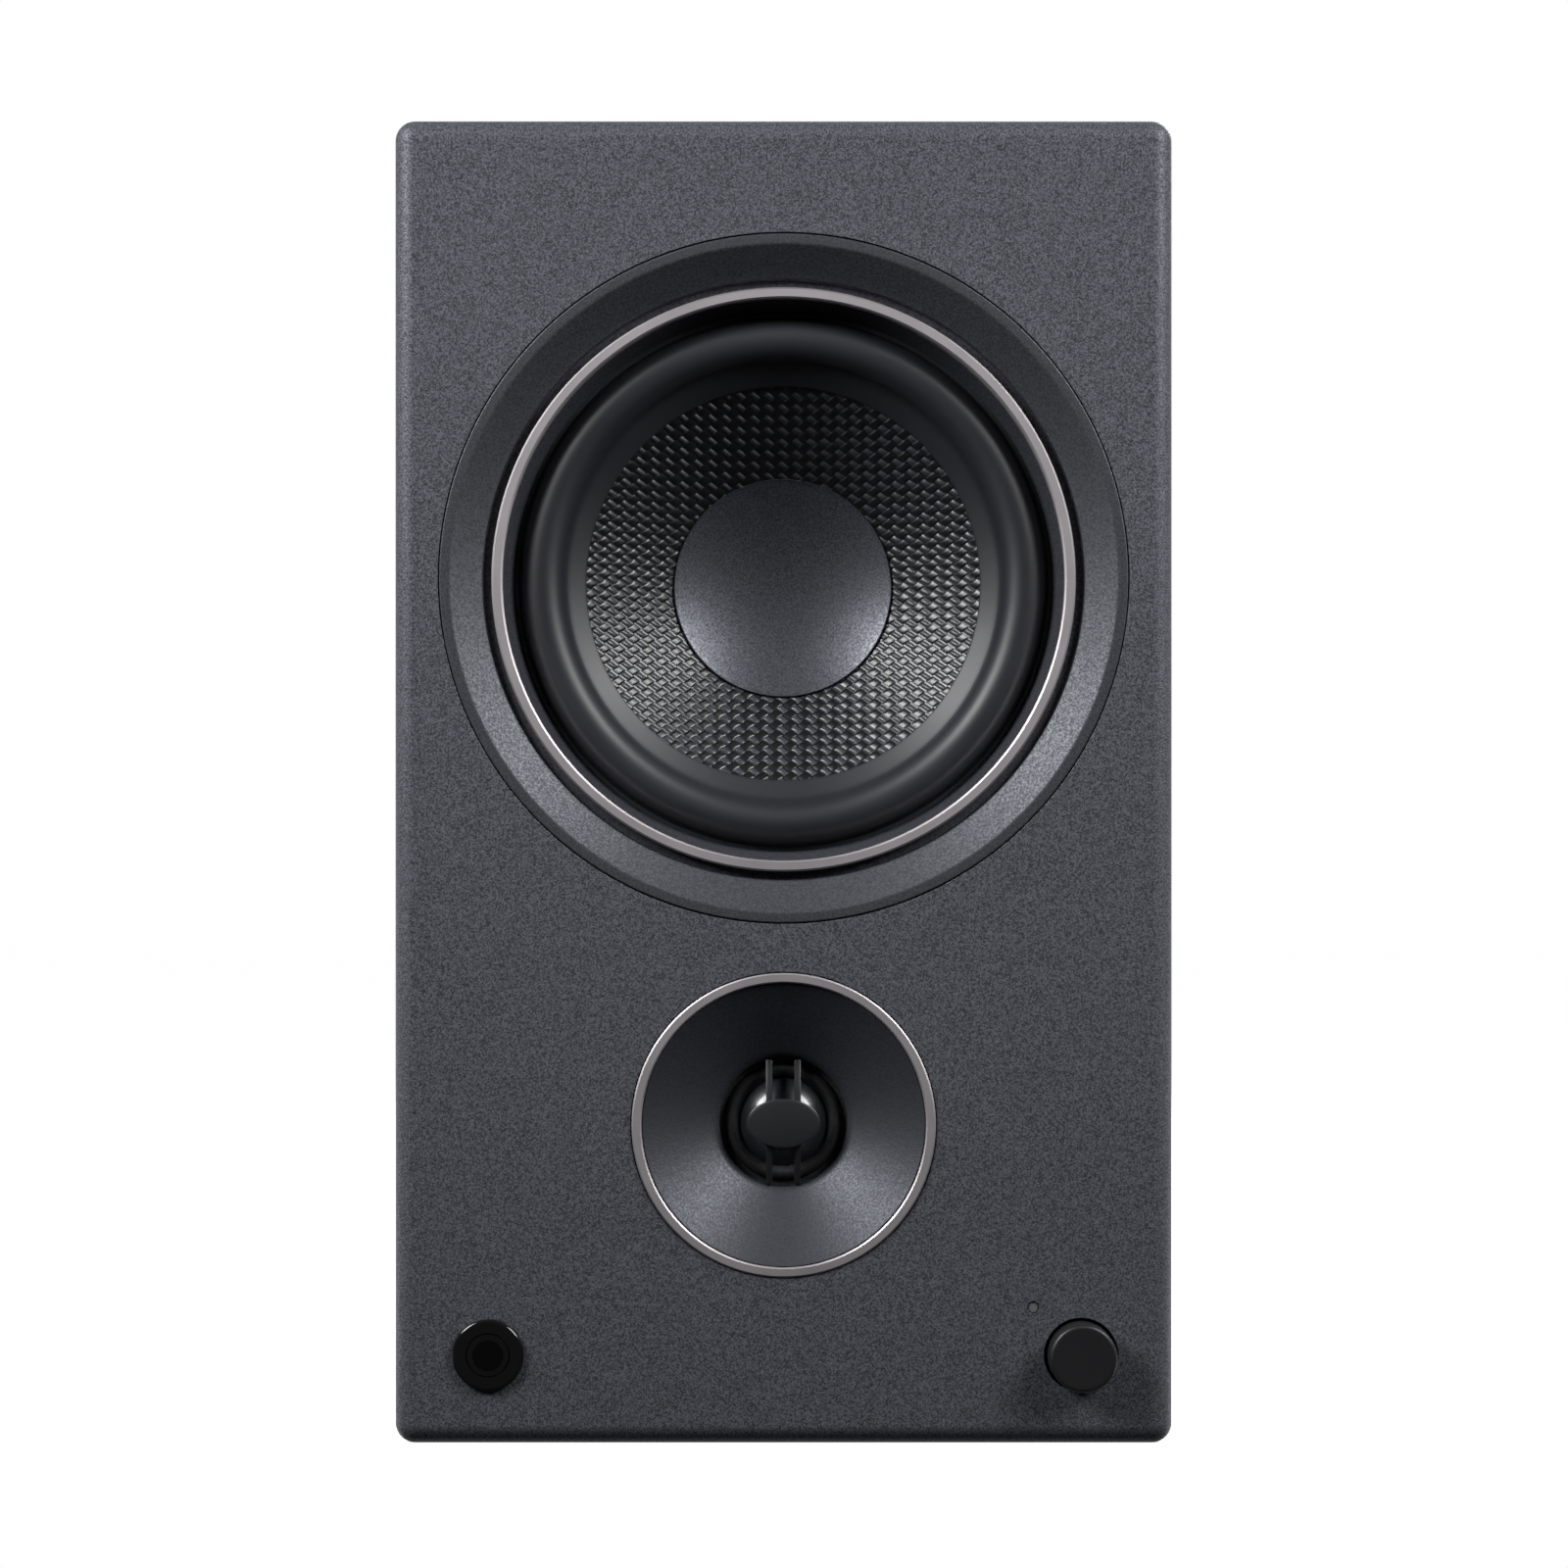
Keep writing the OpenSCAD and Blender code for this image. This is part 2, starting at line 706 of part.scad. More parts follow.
// Two bars and an oval plate, bent to a sphere, that stand over the dome between the throat's walls.
module tweeter_bridge() {
    reach = throat_r;
    bend_r = (reach * reach + bridge_rise * bridge_rise) / (2 * bridge_rise);
    front = bridge_foot - bridge_t - bridge_rise;
    color("#55575b")
    on_axis(0, tweeter_z) intersection() {
        difference() {
            translate([0, 0, front + bend_r]) sphere(bend_r);
            translate([0, 0, front + bend_r + bridge_t]) sphere(bend_r);
        }
        disc(reach, 0, bridge_foot);
        union() {
            for (s = [-1, 1]) translate([s * bar_at - bar_w / 2, -reach, 0])
                cube([bar_w, 2 * reach, bridge_foot]);
            linear_extrude(bridge_foot) intersection() {
                oval_arcs(1);
                oval_arcs(-1);
            }
        }
    }
}

// One half of the oval: a circle through the oval's ends and its top or bottom.
module oval_arcs(side) {
    arc_r = (pow(oval_w / 2, 2) + pow(oval_h / 2, 2)) / oval_h;
    translate([0, side * (oval_h / 2 - arc_r)]) circle(arc_r);
}

module tweeter_surround() {
    roll_r = (tweeter_roll_out - dome_r - 0.4) / 2;
    mid = tweeter_roll_out - roll_r;
    color("#1a1a1c")
    on_axis(0, tweeter_z) rotate_extrude() {
        difference() {
            translate([mid, diaphragm_depth]) circle(roll_r + tweeter_roll_t / 2);
            translate([mid, diaphragm_depth]) circle(roll_r - tweeter_roll_t / 2);
            translate([mid - 3 * roll_r, diaphragm_depth + tweeter_roll_t / 2])
                square([6 * roll_r, 3 * roll_r]);
        }
        translate([tweeter_roll_out - tweeter_roll_t / 2, diaphragm_depth - tweeter_roll_t / 2])
            square([2.6, tweeter_roll_t]);
    }
}

module tweeter_dome() {
    sphere_r = (dome_r * dome_r + dome_h * dome_h) / (2 * dome_h);
    color("#202124")
    on_axis(0, tweeter_z) intersection() {
        difference() {
            translate([0, 0, diaphragm_depth - dome_h + sphere_r]) sphere(sphere_r);
            translate([0, 0, diaphragm_depth - dome_h + sphere_r + diaphragm_t]) sphere(sphere_r);
        }
        disc(dome_r, 0, diaphragm_depth);
    }
}

module tweeter_voice_coil() {
    color("#b5652b")
    on_axis(0, tweeter_z) {
        ring(dome_r, dome_r - 0.2, diaphragm_depth, tweeter_motor + tweeter_plate_t + 1);
        ring(dome_r + tweeter_coil_t, dome_r, tweeter_motor + 0.5, tweeter_motor + tweeter_plate_t - 0.5);
    }
}

module tweeter_top_plate() {
    color("#8d9095")
    on_axis(0, tweeter_z) ring(guide_boss_r - 0.5, dome_r + tweeter_coil_t + 0.4,
        tweeter_motor, tweeter_motor + tweeter_plate_t);
}

module tweeter_magnet() {
    from = tweeter_motor + tweeter_plate_t;
    color("#3b3b3d")
    on_axis(0, tweeter_z) ring(guide_boss_r - 1.5, dome_r + 3, from, from + tweeter_magnet_t);
}

module tweeter_pole_plate() {
    back = tweeter_motor + tweeter_plate_t + tweeter_magnet_t;
    color("#8d9095")
    on_axis(0, tweeter_z) {
        disc(dome_r - 0.6, tweeter_motor, back + eps);
        disc(guide_boss_r - 2, back, back + tweeter_back_t);
    }
}

module tweeter_rear_cup() {
    color("#202124")
    on_axis(0, tweeter_z) {
        ring(cup_r, guide_boss_r, guide_flange + 3, cup_end);
        disc(cup_r, cup_end, cup_end + cup_t);
        for (s = [-1, 1]) translate([s * 6 - 2.4, -0.4, cup_end]) cube([4.8, 0.8, 9]);
    }
}

// ---------------------------------------------------------------- front controls

module ir_lens() {
    color("#0c0c0d")
    on_axis(lens_x, control_z) difference() {
        union() {
            turned([[0, -lens_proud], [lens_r - 0.7, -lens_proud], [lens_r - 0.2, 0.3 - lens_proud],
                [lens_r, 0.8 - lens_proud], [lens_r, 0], [0, 0]]);
            disc(lens_stem, -0.1, pocket_front);
        }
        disc(lens_well_r, 1, pocket_front + eps);
    }
}

module ir_receiver() {
    color("#151517")
    on_axis(lens_x, control_z) {
        translate([0, 0, 2 + receiver_r]) intersection() {
            sphere(receiver_r);
            disc(receiver_r, -receiver_r, 0.01);
        }
        disc(receiver_r, 2 + receiver_r, board_depth);
    }
}

module led_light_pipe() {
    color("#9a9ca0")
    on_axis(led_x, led_z) {
        disc(light_pipe_r, 0.3, board_depth - 2);
        translate([-1.6, -1.6, board_depth - 2]) cube([3.2, 3.2, 2]);
    }
}

module volume_knob() {
    color("#1b1c1e")
    on_axis(knob_x, control_z) difference() {
        turned([[0, -knob_proud], [knob_r - knob_edge, -knob_proud], [knob_r - 0.25, 0.3 - knob_proud],
            [knob_r, knob_edge - knob_proud], [knob_r, knob_skirt], [0, knob_skirt]]);
        difference() {
            disc(knob_r - 1.4, 1 - knob_proud + shaft_grip, knob_skirt + eps);
            disc(shaft_r + 1.5, 0 - knob_proud, knob_skirt + 2 * eps);
        }
        disc(shaft_r, 2 - knob_proud, knob_skirt + eps);
    }
}

module encoder_shaft() {
    color("#b9bcc0")
    on_axis(knob_x, control_z) disc(shaft_r, 2 - knob_proud, encoder_front + 1.5);
}

module encoder_body() {
    well = plunger_t + push_travel + 0.6;
    color("#6f7377")
    on_axis(knob_x, control_z) difference() {
        union() {
            disc(bush_r, encoder_front - bush_l, encoder_front + 0.5);
            translate([-encoder_w / 2, -encoder_w / 2, encoder_front]) cube([encoder_w, encoder_w, encoder_h]);
        }
        disc(shaft_r + bearing_gap, encoder_front - bush_l - eps, encoder_front + 1.6 + push_travel);
        disc(plunger_r + 2 * bearing_gap, encoder_front + 1, encoder_front + 1.6 + well);
    }
}

module encoder_plunger() {
    color("#d8d8d4")
    on_axis(knob_x, control_z)
        disc(plunger_r, encoder_front + 1.5, encoder_front + 1.5 + plunger_t);
}

module control_boards() {
    color("#1d5a36")
    for (x = [board_edge - inner_w / 2, inner_w / 2 - board_edge - board_span])
        slab(board_depth, board_depth + board_t)
            translate([x, wall_t + board_edge]) square([board_span, board_rise]);
}

// ---------------------------------------------------------------- amplifier

// Ten screws round the edge of the plate, drawn from the plate's inner face outwards.
module plate_screw_places() {
    across = plate_w / 2 - plate_screw_at;
    for (x = [-across, across], k = [0:3])
        on_axis(x, plate_z + plate_screw_at + k * (plate_h - 2 * plate_screw_at) / 3, cabinet_d) children();
    for (z = [plate_z + plate_screw_at, plate_z + plate_h - plate_screw_at])
        on_axis(0, z, cabinet_d) children();
}

module plate_outline() {
    r = 3;
    translate([-plate_w / 2 + r, plate_z]) square([plate_w - 2 * r, plate_h]);
    translate([-plate_w / 2, plate_z + r]) square([plate_w, plate_h - 2 * r]);
    for (x = [-1, 1], z = [plate_z + r, plate_z + plate_h - r])
        translate([x * (plate_w / 2 - r), z]) circle(r);
}

module amplifier_plate() {
    color("#1e1f22")
    for (x = [-1, 1], z = [board_z + 4, board_z + board_h - 4])
        on_axis(x * (board_w / 2 - 4), z) disc(3, amp_board + board_t, cabinet_d + plate_t / 2);
    color("#1e1f22")
    difference() {
        slab(cabinet_d, plate_face) plate_outline();
        plate_screw_places() disc(plate_screw_r + 0.3, -eps, plate_t + eps);
        for (x = rca_x) on_axis(x, rca_z, cabinet_d) disc(rca_r + seat_gap, -eps, plate_t + eps);
        for (s = [-1, 1]) on_axis(s * post_pitch / 2, post_z, cabinet_d)
            disc(post_neck_r + seat_gap, -eps, plate_t + eps);
        slab(cabinet_d - eps, plate_face + eps) {
            translate([inlet_x - inlet_w / 2 + 2, mains_z - inlet_h / 2 + 2]) square([inlet_w - 4, inlet_h - 4]);
            translate([switch_x - switch_w / 2 + 1.5, mains_z - switch_h / 2 + 1.5])
                square([switch_w - 3, switch_h - 3]);
        }
    }
}

module amplifier_plate_screws() {
    head_h = 1.4;
    color("#2a2a2c")
    plate_screw_places() difference() {
        union() {
            disc(2.6, plate_t, plate_t + head_h);
            disc(plate_screw_r, -plate_screw_l, plate_t + 0.2);
        }
        for (t = [0, 90]) rotate([0, 0, t])
            translate([-1.5, -0.35, plate_t + 0.5]) cube([3, 0.7, head_h]);
    }
}

module amplifier_board() {
    color("#1d5a36")
    slab(amp_board, amp_board + board_t) translate([-board_w / 2, board_z]) square([board_w, board_h]);
}

module heat_sink() {
    w = 76;
    h = 34;
    fins = 10;
    fin_t = 1.6;
    base_t = 3;
    reach = 24;
    z = board_z + board_h - h - 4;
    color("#a7abb0") {
        slab(amp_board - base_t, amp_board) translate([-w / 2, z]) square([w, h]);
        slab(amp_board - reach, amp_board - base_t)
            for (i = [0:fins - 1]) translate([-w / 2 + i * (w - fin_t) / (fins - 1), z]) square([fin_t, h]);
    }
}

// Two upright capacitors and a transformer, soldered to the board.
module power_supply_parts() {
    can_r = 8;
    can_h = 28;
    core = [30, 24, 18];
    winding = [20, 24, 26];
    color("#22252c")
    for (x = [20, 40]) on_axis(x, board_z + 14, amp_board - can_h) cylinder(r = can_r, h = can_h);
    color("#c7a043")
    translate([-24, front_y + amp_board - core[1] / 2, board_z + 16]) {
        cube(core, center = true);
        difference() {
            cube(winding, center = true);
            cube([winding[0], winding[1], core[2]], center = true);
        }
    }
}

module rca_shells() {
    color("#c9ccd0")
    for (x = rca_x) on_axis(x, rca_z, cabinet_d) difference() {
        union() {
            disc(rca_r, -8, plate_t + rca_l);
            disc(rca_r + 1.2, plate_t, plate_t + 1.2);
            disc(rca_r + 1.2, -1.5, 0);
        }
        disc(rca_r - rca_wall, -8 - eps, plate_t + rca_l + eps);
    }
}

module rca_insulators() {
    for (i = [0:2]) color(["#e8e8e4", "#b02020", "#2b2b2d"][i])
        on_axis(rca_x[i], rca_z, cabinet_d) ring(rca_r - rca_wall, rca_bore, -8, plate_t + rca_l - 0.8);
}

module post_places() {
    for (s = [-1, 1]) on_axis(s * post_pitch / 2, post_z, cabinet_d) children();
}

module binding_post_shafts() {
    shaft_end = rear_proud - 1;
    color("#c9a24a")
    post_places() difference() {
        disc(post_r, -8, shaft_end);
        disc(banana_r, shaft_end - banana_l, shaft_end + eps);
    }
}

module binding_post_bases() {
    color("#19191b")
    post_places() difference() {
        union() {
            disc(post_base_r, plate_t, plate_t + post_base_t);
            disc(post_neck_r, -2, plate_t + eps);
        }
        disc(post_r, -2 - eps, plate_t + post_base_t + eps);
    }
}

// A screw-down cap with a fluted grip, open at its outer end for the plug.
module post_cap(s) {
    on_axis(s * post_pitch / 2, post_z, cabinet_d) difference() {
        disc(post_cap_r, post_cap_from, rear_proud);
        disc(post_r + bearing_gap, post_cap_from - eps, rear_proud + eps);
        for (k = [0:knurls - 1]) rotate([0, 0, k * 360 / knurls])
            translate([post_cap_r + 0.35, 0, 0]) disc(knurl_r, post_cap_from + 2, rear_proud + eps);
    }
}

// A plated washer that rides under the cap and doesn't turn with it.
module post_washer(s) {
    from = plate_t + post_base_t + washer_gap;
    color("#c9a24a")
    on_axis(s * post_pitch / 2, post_z, cabinet_d)
        ring(post_cap_r - 0.7, post_r + bearing_gap, from, from + washer_t);
}

module red_post_washer() {
    post_washer(-1);
}

module black_post_washer() {
    post_washer(1);
}

module red_post_cap() {
    color("#a51d1d") post_cap(-1);
}

module black_post_cap() {
    color("#161618") post_cap(1);
}

// The inlet's well, seen from behind: two round lobes joined by a bar.
module inlet_well() {
    for (s = [-1, 1]) translate([inlet_x + s * inlet_pin_at, mains_z]) circle(inlet_well_r);
    translate([inlet_x - inlet_pin_at, mains_z - inlet_well_r]) square([2 * inlet_pin_at, 2 * inlet_well_r]);
}

module mains_inlet() {
    flange_t = 1.5;
    color("#121214")
    difference() {
        union() {
            slab(plate_face, plate_face + flange_t)
                translate([inlet_x - inlet_w / 2, mains_z - inlet_h / 2]) square([inlet_w, inlet_h]);
            slab(plate_face - inlet_well_l - 2, plate_face + 0.5)
                translate([inlet_x - inlet_w / 2 + 2.1, mains_z - inlet_h / 2 + 2.1])
                    square([inlet_w - 4.2, inlet_h - 4.2]);
        }
        slab(plate_face + flange_t - inlet_well_l, plate_face + flange_t + eps) inlet_well();
    }
}

module mains_inlet_pins() {
    color("#c9ccd0")
    for (s = [-1, 1]) on_axis(inlet_x + s * inlet_pin_at, mains_z, plate_face + 1.5 - inlet_well_l)
        cylinder(r = pin_r, h = inlet_well_l - 2.5);
}

module power_switch_body() {
    flange_t = 1.5;
    color("#121214")
    difference() {
        union() {
            slab(plate_face, plate_face + flange_t)
                translate([switch_x - switch_w / 2, mains_z - switch_h / 2]) square([switch_w, switch_h]);
            slab(plate_face - switch_body_l, plate_face + 0.5)
                translate([switch_x - switch_w / 2 + switch_lip, mains_z - switch_h / 2 + switch_lip])
                    square([switch_w - 2 * switch_lip, switch_h - 2 * switch_lip]);
        }
        slab(plate_face - switch_well, plate_face + flange_t + eps)
            translate([switch_x - rocker_w / 2 - rocker_side_gap, mains_z - rocker_h / 2 - rocker_end_gap])
                square([rocker_w + 2 * rocker_side_gap, rocker_h + 2 * rocker_end_gap]);
        translate([switch_x, front_y + pivot_depth, mains_z]) rotate([0, 90, 0])
            cylinder(r = pivot_r + bearing_gap, h = switch_w, center = true);
    }
}

// The rocker is modelled tipped to its off position, its lower end pressed in. Its pivot lies across the switch.
module power_rocker() {
    half = rocker_h / 2 * cos(rocker_tilt);
    back = 4;        // from the pivot to the rocker's inner face
    tip = 4.2;       // from the pivot to the two raised ends
    waist = 2.6;     // from the pivot to the dished middle
    color("#1b1c1e")
    translate([switch_x, front_y + pivot_depth, mains_z]) {
        rotate([90 - rocker_tilt, 0, 0]) rotate([0, -90, 0]) linear_extrude(rocker_w, center = true)
            polygon([[-back, 1 - half], [tip, -half], [waist, 0], [tip, half], [-back, half - 1]]);
        rotate([0, 90, 0]) cylinder(r = pivot_r, h = rocker_w + 2 * pivot_reach, center = true);
    }
}

// ---------------------------------------------------------------- wiring

module driver_wires() {
    wire_r = 1.1;
    slack = 50;
    woofer_tag = [front_y + strip_depth + strip_t + tag_l + 0.3, woofer_z - tag_y - 0.4];
    tweeter_tag = [front_y + cup_end + 9.2, tweeter_z];
    far_y = front_y + amp_board - 0.1;
    for (s = [-1, 1]) color(s < 0 ? "#b3261e" : "#1a1a1c") {
        x = s * 2 - 42;
        wire([[s * tag_x, woofer_tag[0], woofer_tag[1]], [s * tag_x, woofer_tag[0] + slack, woofer_tag[1]],
            [x, far_y - 40, board_z + 66], [x, far_y, board_z + 62]], wire_r);
        wire([[s * 6, tweeter_tag[0], tweeter_tag[1]], [s * 6, tweeter_tag[0] + slack, tweeter_tag[1]],
            [x, far_y - slack, board_z + 40], [x, far_y, board_z + 40]], wire_r);
    }
}

module control_cables() {
    from_y = front_y + board_depth + board_t + 0.1;
    far_y = front_y + amp_board - 0.1;
    color("#5b5e63")
    for (s = [-1, 1]) wire([[s * 55, from_y, control_z], [s * 55, from_y + 60, control_z],
        [s * 46, far_y - 60, board_z + 4], [s * 46, far_y, board_z + 4]], 1.6);
}

front_baffle();
side_panels();
top_and_bottom_panels();
rear_panel();
window_brace();
damping_wadding();
port_tube();
woofer_trim_ring();
woofer_accent_ring();
woofer_frame();
woofer_gasket();
woofer_screws();
woofer_surround();
woofer_cone();
woofer_dust_cap();
woofer_coil_former();
woofer_voice_coil();
woofer_spider();
woofer_top_plate();
woofer_magnet();
woofer_pole_plate();
woofer_terminals();
woofer_tinsel_leads();
tweeter_waveguide();
tweeter_accent_ring();
tweeter_bridge();
tweeter_surround();
tweeter_dome();
tweeter_voice_coil();
tweeter_top_plate();
tweeter_magnet();
tweeter_pole_plate();
tweeter_rear_cup();
ir_lens();
ir_receiver();
led_light_pipe();
volume_knob();
encoder_shaft();
encoder_body();
encoder_plunger();
control_boards();
amplifier_plate();
amplifier_plate_screws();
amplifier_board();
heat_sink();
power_supply_parts();
rca_shells();
rca_insulators();
binding_post_shafts();
binding_post_bases();
red_post_washer();
red_post_cap();
black_post_washer();
black_post_cap();
mains_inlet();
mains_inlet_pins();
power_switch_body();
power_rocker();
driver_wires();
control_cables();
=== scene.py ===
import math
import bmesh
import bpy
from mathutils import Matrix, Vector
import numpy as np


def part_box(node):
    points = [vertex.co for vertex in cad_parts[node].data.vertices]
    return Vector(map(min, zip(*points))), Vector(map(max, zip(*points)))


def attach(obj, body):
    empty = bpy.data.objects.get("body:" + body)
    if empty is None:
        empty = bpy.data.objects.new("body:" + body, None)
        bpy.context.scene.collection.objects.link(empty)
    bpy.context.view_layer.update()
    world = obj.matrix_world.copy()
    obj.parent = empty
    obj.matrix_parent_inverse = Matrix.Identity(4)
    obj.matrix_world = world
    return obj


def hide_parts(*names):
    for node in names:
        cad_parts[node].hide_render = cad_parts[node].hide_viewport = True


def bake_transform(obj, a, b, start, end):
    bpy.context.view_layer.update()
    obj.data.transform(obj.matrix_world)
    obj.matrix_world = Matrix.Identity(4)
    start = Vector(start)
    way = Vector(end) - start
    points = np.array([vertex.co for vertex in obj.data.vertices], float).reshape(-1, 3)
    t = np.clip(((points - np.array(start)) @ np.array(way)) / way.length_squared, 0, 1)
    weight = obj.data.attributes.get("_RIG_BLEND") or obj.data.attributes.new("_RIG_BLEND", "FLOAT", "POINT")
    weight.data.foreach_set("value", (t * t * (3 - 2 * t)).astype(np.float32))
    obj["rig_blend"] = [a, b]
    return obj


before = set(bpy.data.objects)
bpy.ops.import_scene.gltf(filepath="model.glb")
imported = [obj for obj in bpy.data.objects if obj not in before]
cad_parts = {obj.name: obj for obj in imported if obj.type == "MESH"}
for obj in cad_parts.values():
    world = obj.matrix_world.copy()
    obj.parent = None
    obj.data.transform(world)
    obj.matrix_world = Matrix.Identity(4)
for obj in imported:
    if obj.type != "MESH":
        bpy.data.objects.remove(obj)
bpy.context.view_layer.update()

mm = 0.001

# ------------------------------------------------------------------ camera
# A long lens, level and square to the baffle, a little under the middle and to the left. The shift
# brings the cabinet back to the middle of the frame.
baffle_low, baffle_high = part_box("front_baffle")
front = baffle_low.y
framed_width = 343.7 * mm
distance = 800 * mm
camera_data = bpy.data.cameras.new("camera")
camera_data.sensor_width = 36
camera_data.lens = camera_data.sensor_width * distance / framed_width
camera_data.shift_x = 0.0188
camera_data.shift_y = 0.0563
camera = bpy.data.objects.new("camera", camera_data)
camera.location = (-6.4 * mm, front - distance, 125.6 * mm)
camera.rotation_euler = (math.radians(90), 0, 0)
bpy.context.scene.collection.objects.link(camera)
bpy.context.scene.camera = camera

# ------------------------------------------------------------------ studio
# A white table that glows a little and ends at the baffle's foot, a surround that is white to the
# camera and dim to everything else, two soft boxes high at the left and right, and one behind.
bpy.context.scene.view_settings.view_transform = "Standard"
bpy.context.scene.view_settings.look = "None"


def plain(name, colour, roughness):
    material = bpy.data.materials.new(name)
    material.use_nodes = True
    shader = material.node_tree.nodes["Principled BSDF"]
    shader.inputs["Base Color"].default_value = (*colour, 1)
    shader.inputs["Roughness"].default_value = roughness
    return material


def soft_box(name, place, aim, width, height, power, spread=180):
    light = bpy.data.lights.new(name, "AREA")
    light.shape = "RECTANGLE"
    light.spread = math.radians(spread)
    light.size = width
    light.size_y = height
    light.energy = power
    holder = bpy.data.objects.new(name, light)
    holder.location = place
    holder.rotation_euler = (Vector(aim) - Vector(place)).to_track_quat("-Z", "Y").to_euler()
    bpy.context.scene.collection.objects.link(holder)


bpy.ops.object.select_all(action="DESELECT")
bpy.ops.mesh.primitive_plane_add(size=1, location=(0, front + 3.004, 0))
floor = bpy.context.object
floor.name = "studio_table"
floor.scale = (12, 6, 1)
bpy.ops.object.transform_apply(location=True, rotation=True, scale=True)
white = plain("studio_white", (0.86, 0.86, 0.87), 0.9)
white.node_tree.nodes["Principled BSDF"].inputs["Emission Color"].default_value = (1, 1, 1, 1)
white.node_tree.nodes["Principled BSDF"].inputs["Emission Strength"].default_value = 0.8
floor.data.materials.append(white)

world = bpy.data.worlds.new("studio")
world.use_nodes = True
world.node_tree.nodes["Background"].inputs["Color"].default_value = (1, 1, 1, 1)
ray = world.node_tree.nodes.new("ShaderNodeTexCoord")
split = world.node_tree.nodes.new("ShaderNodeSeparateXYZ")
fade = world.node_tree.nodes.new("ShaderNodeMapRange")
fade.inputs["From Min"].default_value = 0.0
fade.inputs["From Max"].default_value = 0.5
fade.inputs["To Min"].default_value = 0.02
fade.inputs["To Max"].default_value = 0.55
seen = world.node_tree.nodes.new("ShaderNodeLightPath")
brighter = world.node_tree.nodes.new("ShaderNodeMath")
brighter.operation = "MAXIMUM"
world.node_tree.links.new(seen.outputs["Is Camera Ray"], brighter.inputs[0])
world.node_tree.links.new(fade.outputs["Result"], brighter.inputs[1])
world.node_tree.links.new(ray.outputs["Generated"], split.inputs["Vector"])
world.node_tree.links.new(split.outputs["Y"], fade.inputs["Value"])
world.node_tree.links.new(brighter.outputs["Value"], world.node_tree.nodes["Background"].inputs["Strength"])
bpy.context.scene.world = world

aim = (0, front, 0.195)
soft_box("left_soft_box", (-0.66, front - 0.40, 0.66), aim, 0.40, 0.40, 3.2, 92)
soft_box("right_soft_box", (0.66, front - 0.40, 0.66), aim, 0.40, 0.40, 2.65, 92)
soft_box("rear_soft_box", (0.6, 1.1, 0.9), (0, 0.1, 0.15), 0.5, 0.5, 8, 110)

# ------------------------------------------------------------------ front baffle
# One machined fibreboard panel with a satin black coat that carries a fine metallic speckle. Its
# outer corners are rounded, and it is glued to the front of the cabinet sleeve.


class Wire:
    """A node's output, with arithmetic that adds Math nodes."""

    def __init__(self, tree, socket):
        self.tree = tree
        self.socket = socket

    def maths(self, operation, *values):
        node = self.tree.nodes.new("ShaderNodeMath")
        node.operation = operation
        for place, value in enumerate(values):
            if isinstance(value, Wire):
                self.tree.links.new(value.socket, node.inputs[place])
            else:
                node.inputs[place].default_value = value
        return Wire(self.tree, node.outputs[0])

    def __add__(self, other):
        return self.maths("ADD", self, other)

    def __radd__(self, other):
        return self.maths("ADD", other, self)

    def __sub__(self, other):
        return self.maths("SUBTRACT", self, other)

    def __rsub__(self, other):
        return self.maths("SUBTRACT", other, self)

    def __mul__(self, other):
        return self.maths("MULTIPLY", self, other)

    def __rmul__(self, other):
        return self.maths("MULTIPLY", other, self)

    def __truediv__(self, other):
        return self.maths("DIVIDE", self, other)

    def __mod__(self, other):
        return self.maths("FLOORED_MODULO", self, other)

    def __pow__(self, other):
        return self.maths("POWER", self, other)

    def __gt__(self, other):
        return self.maths("GREATER_THAN", self, other)

    def __lt__(self, other):
        return self.maths("LESS_THAN", self, other)

    def __abs__(self):
        return self.maths("ABSOLUTE", self)


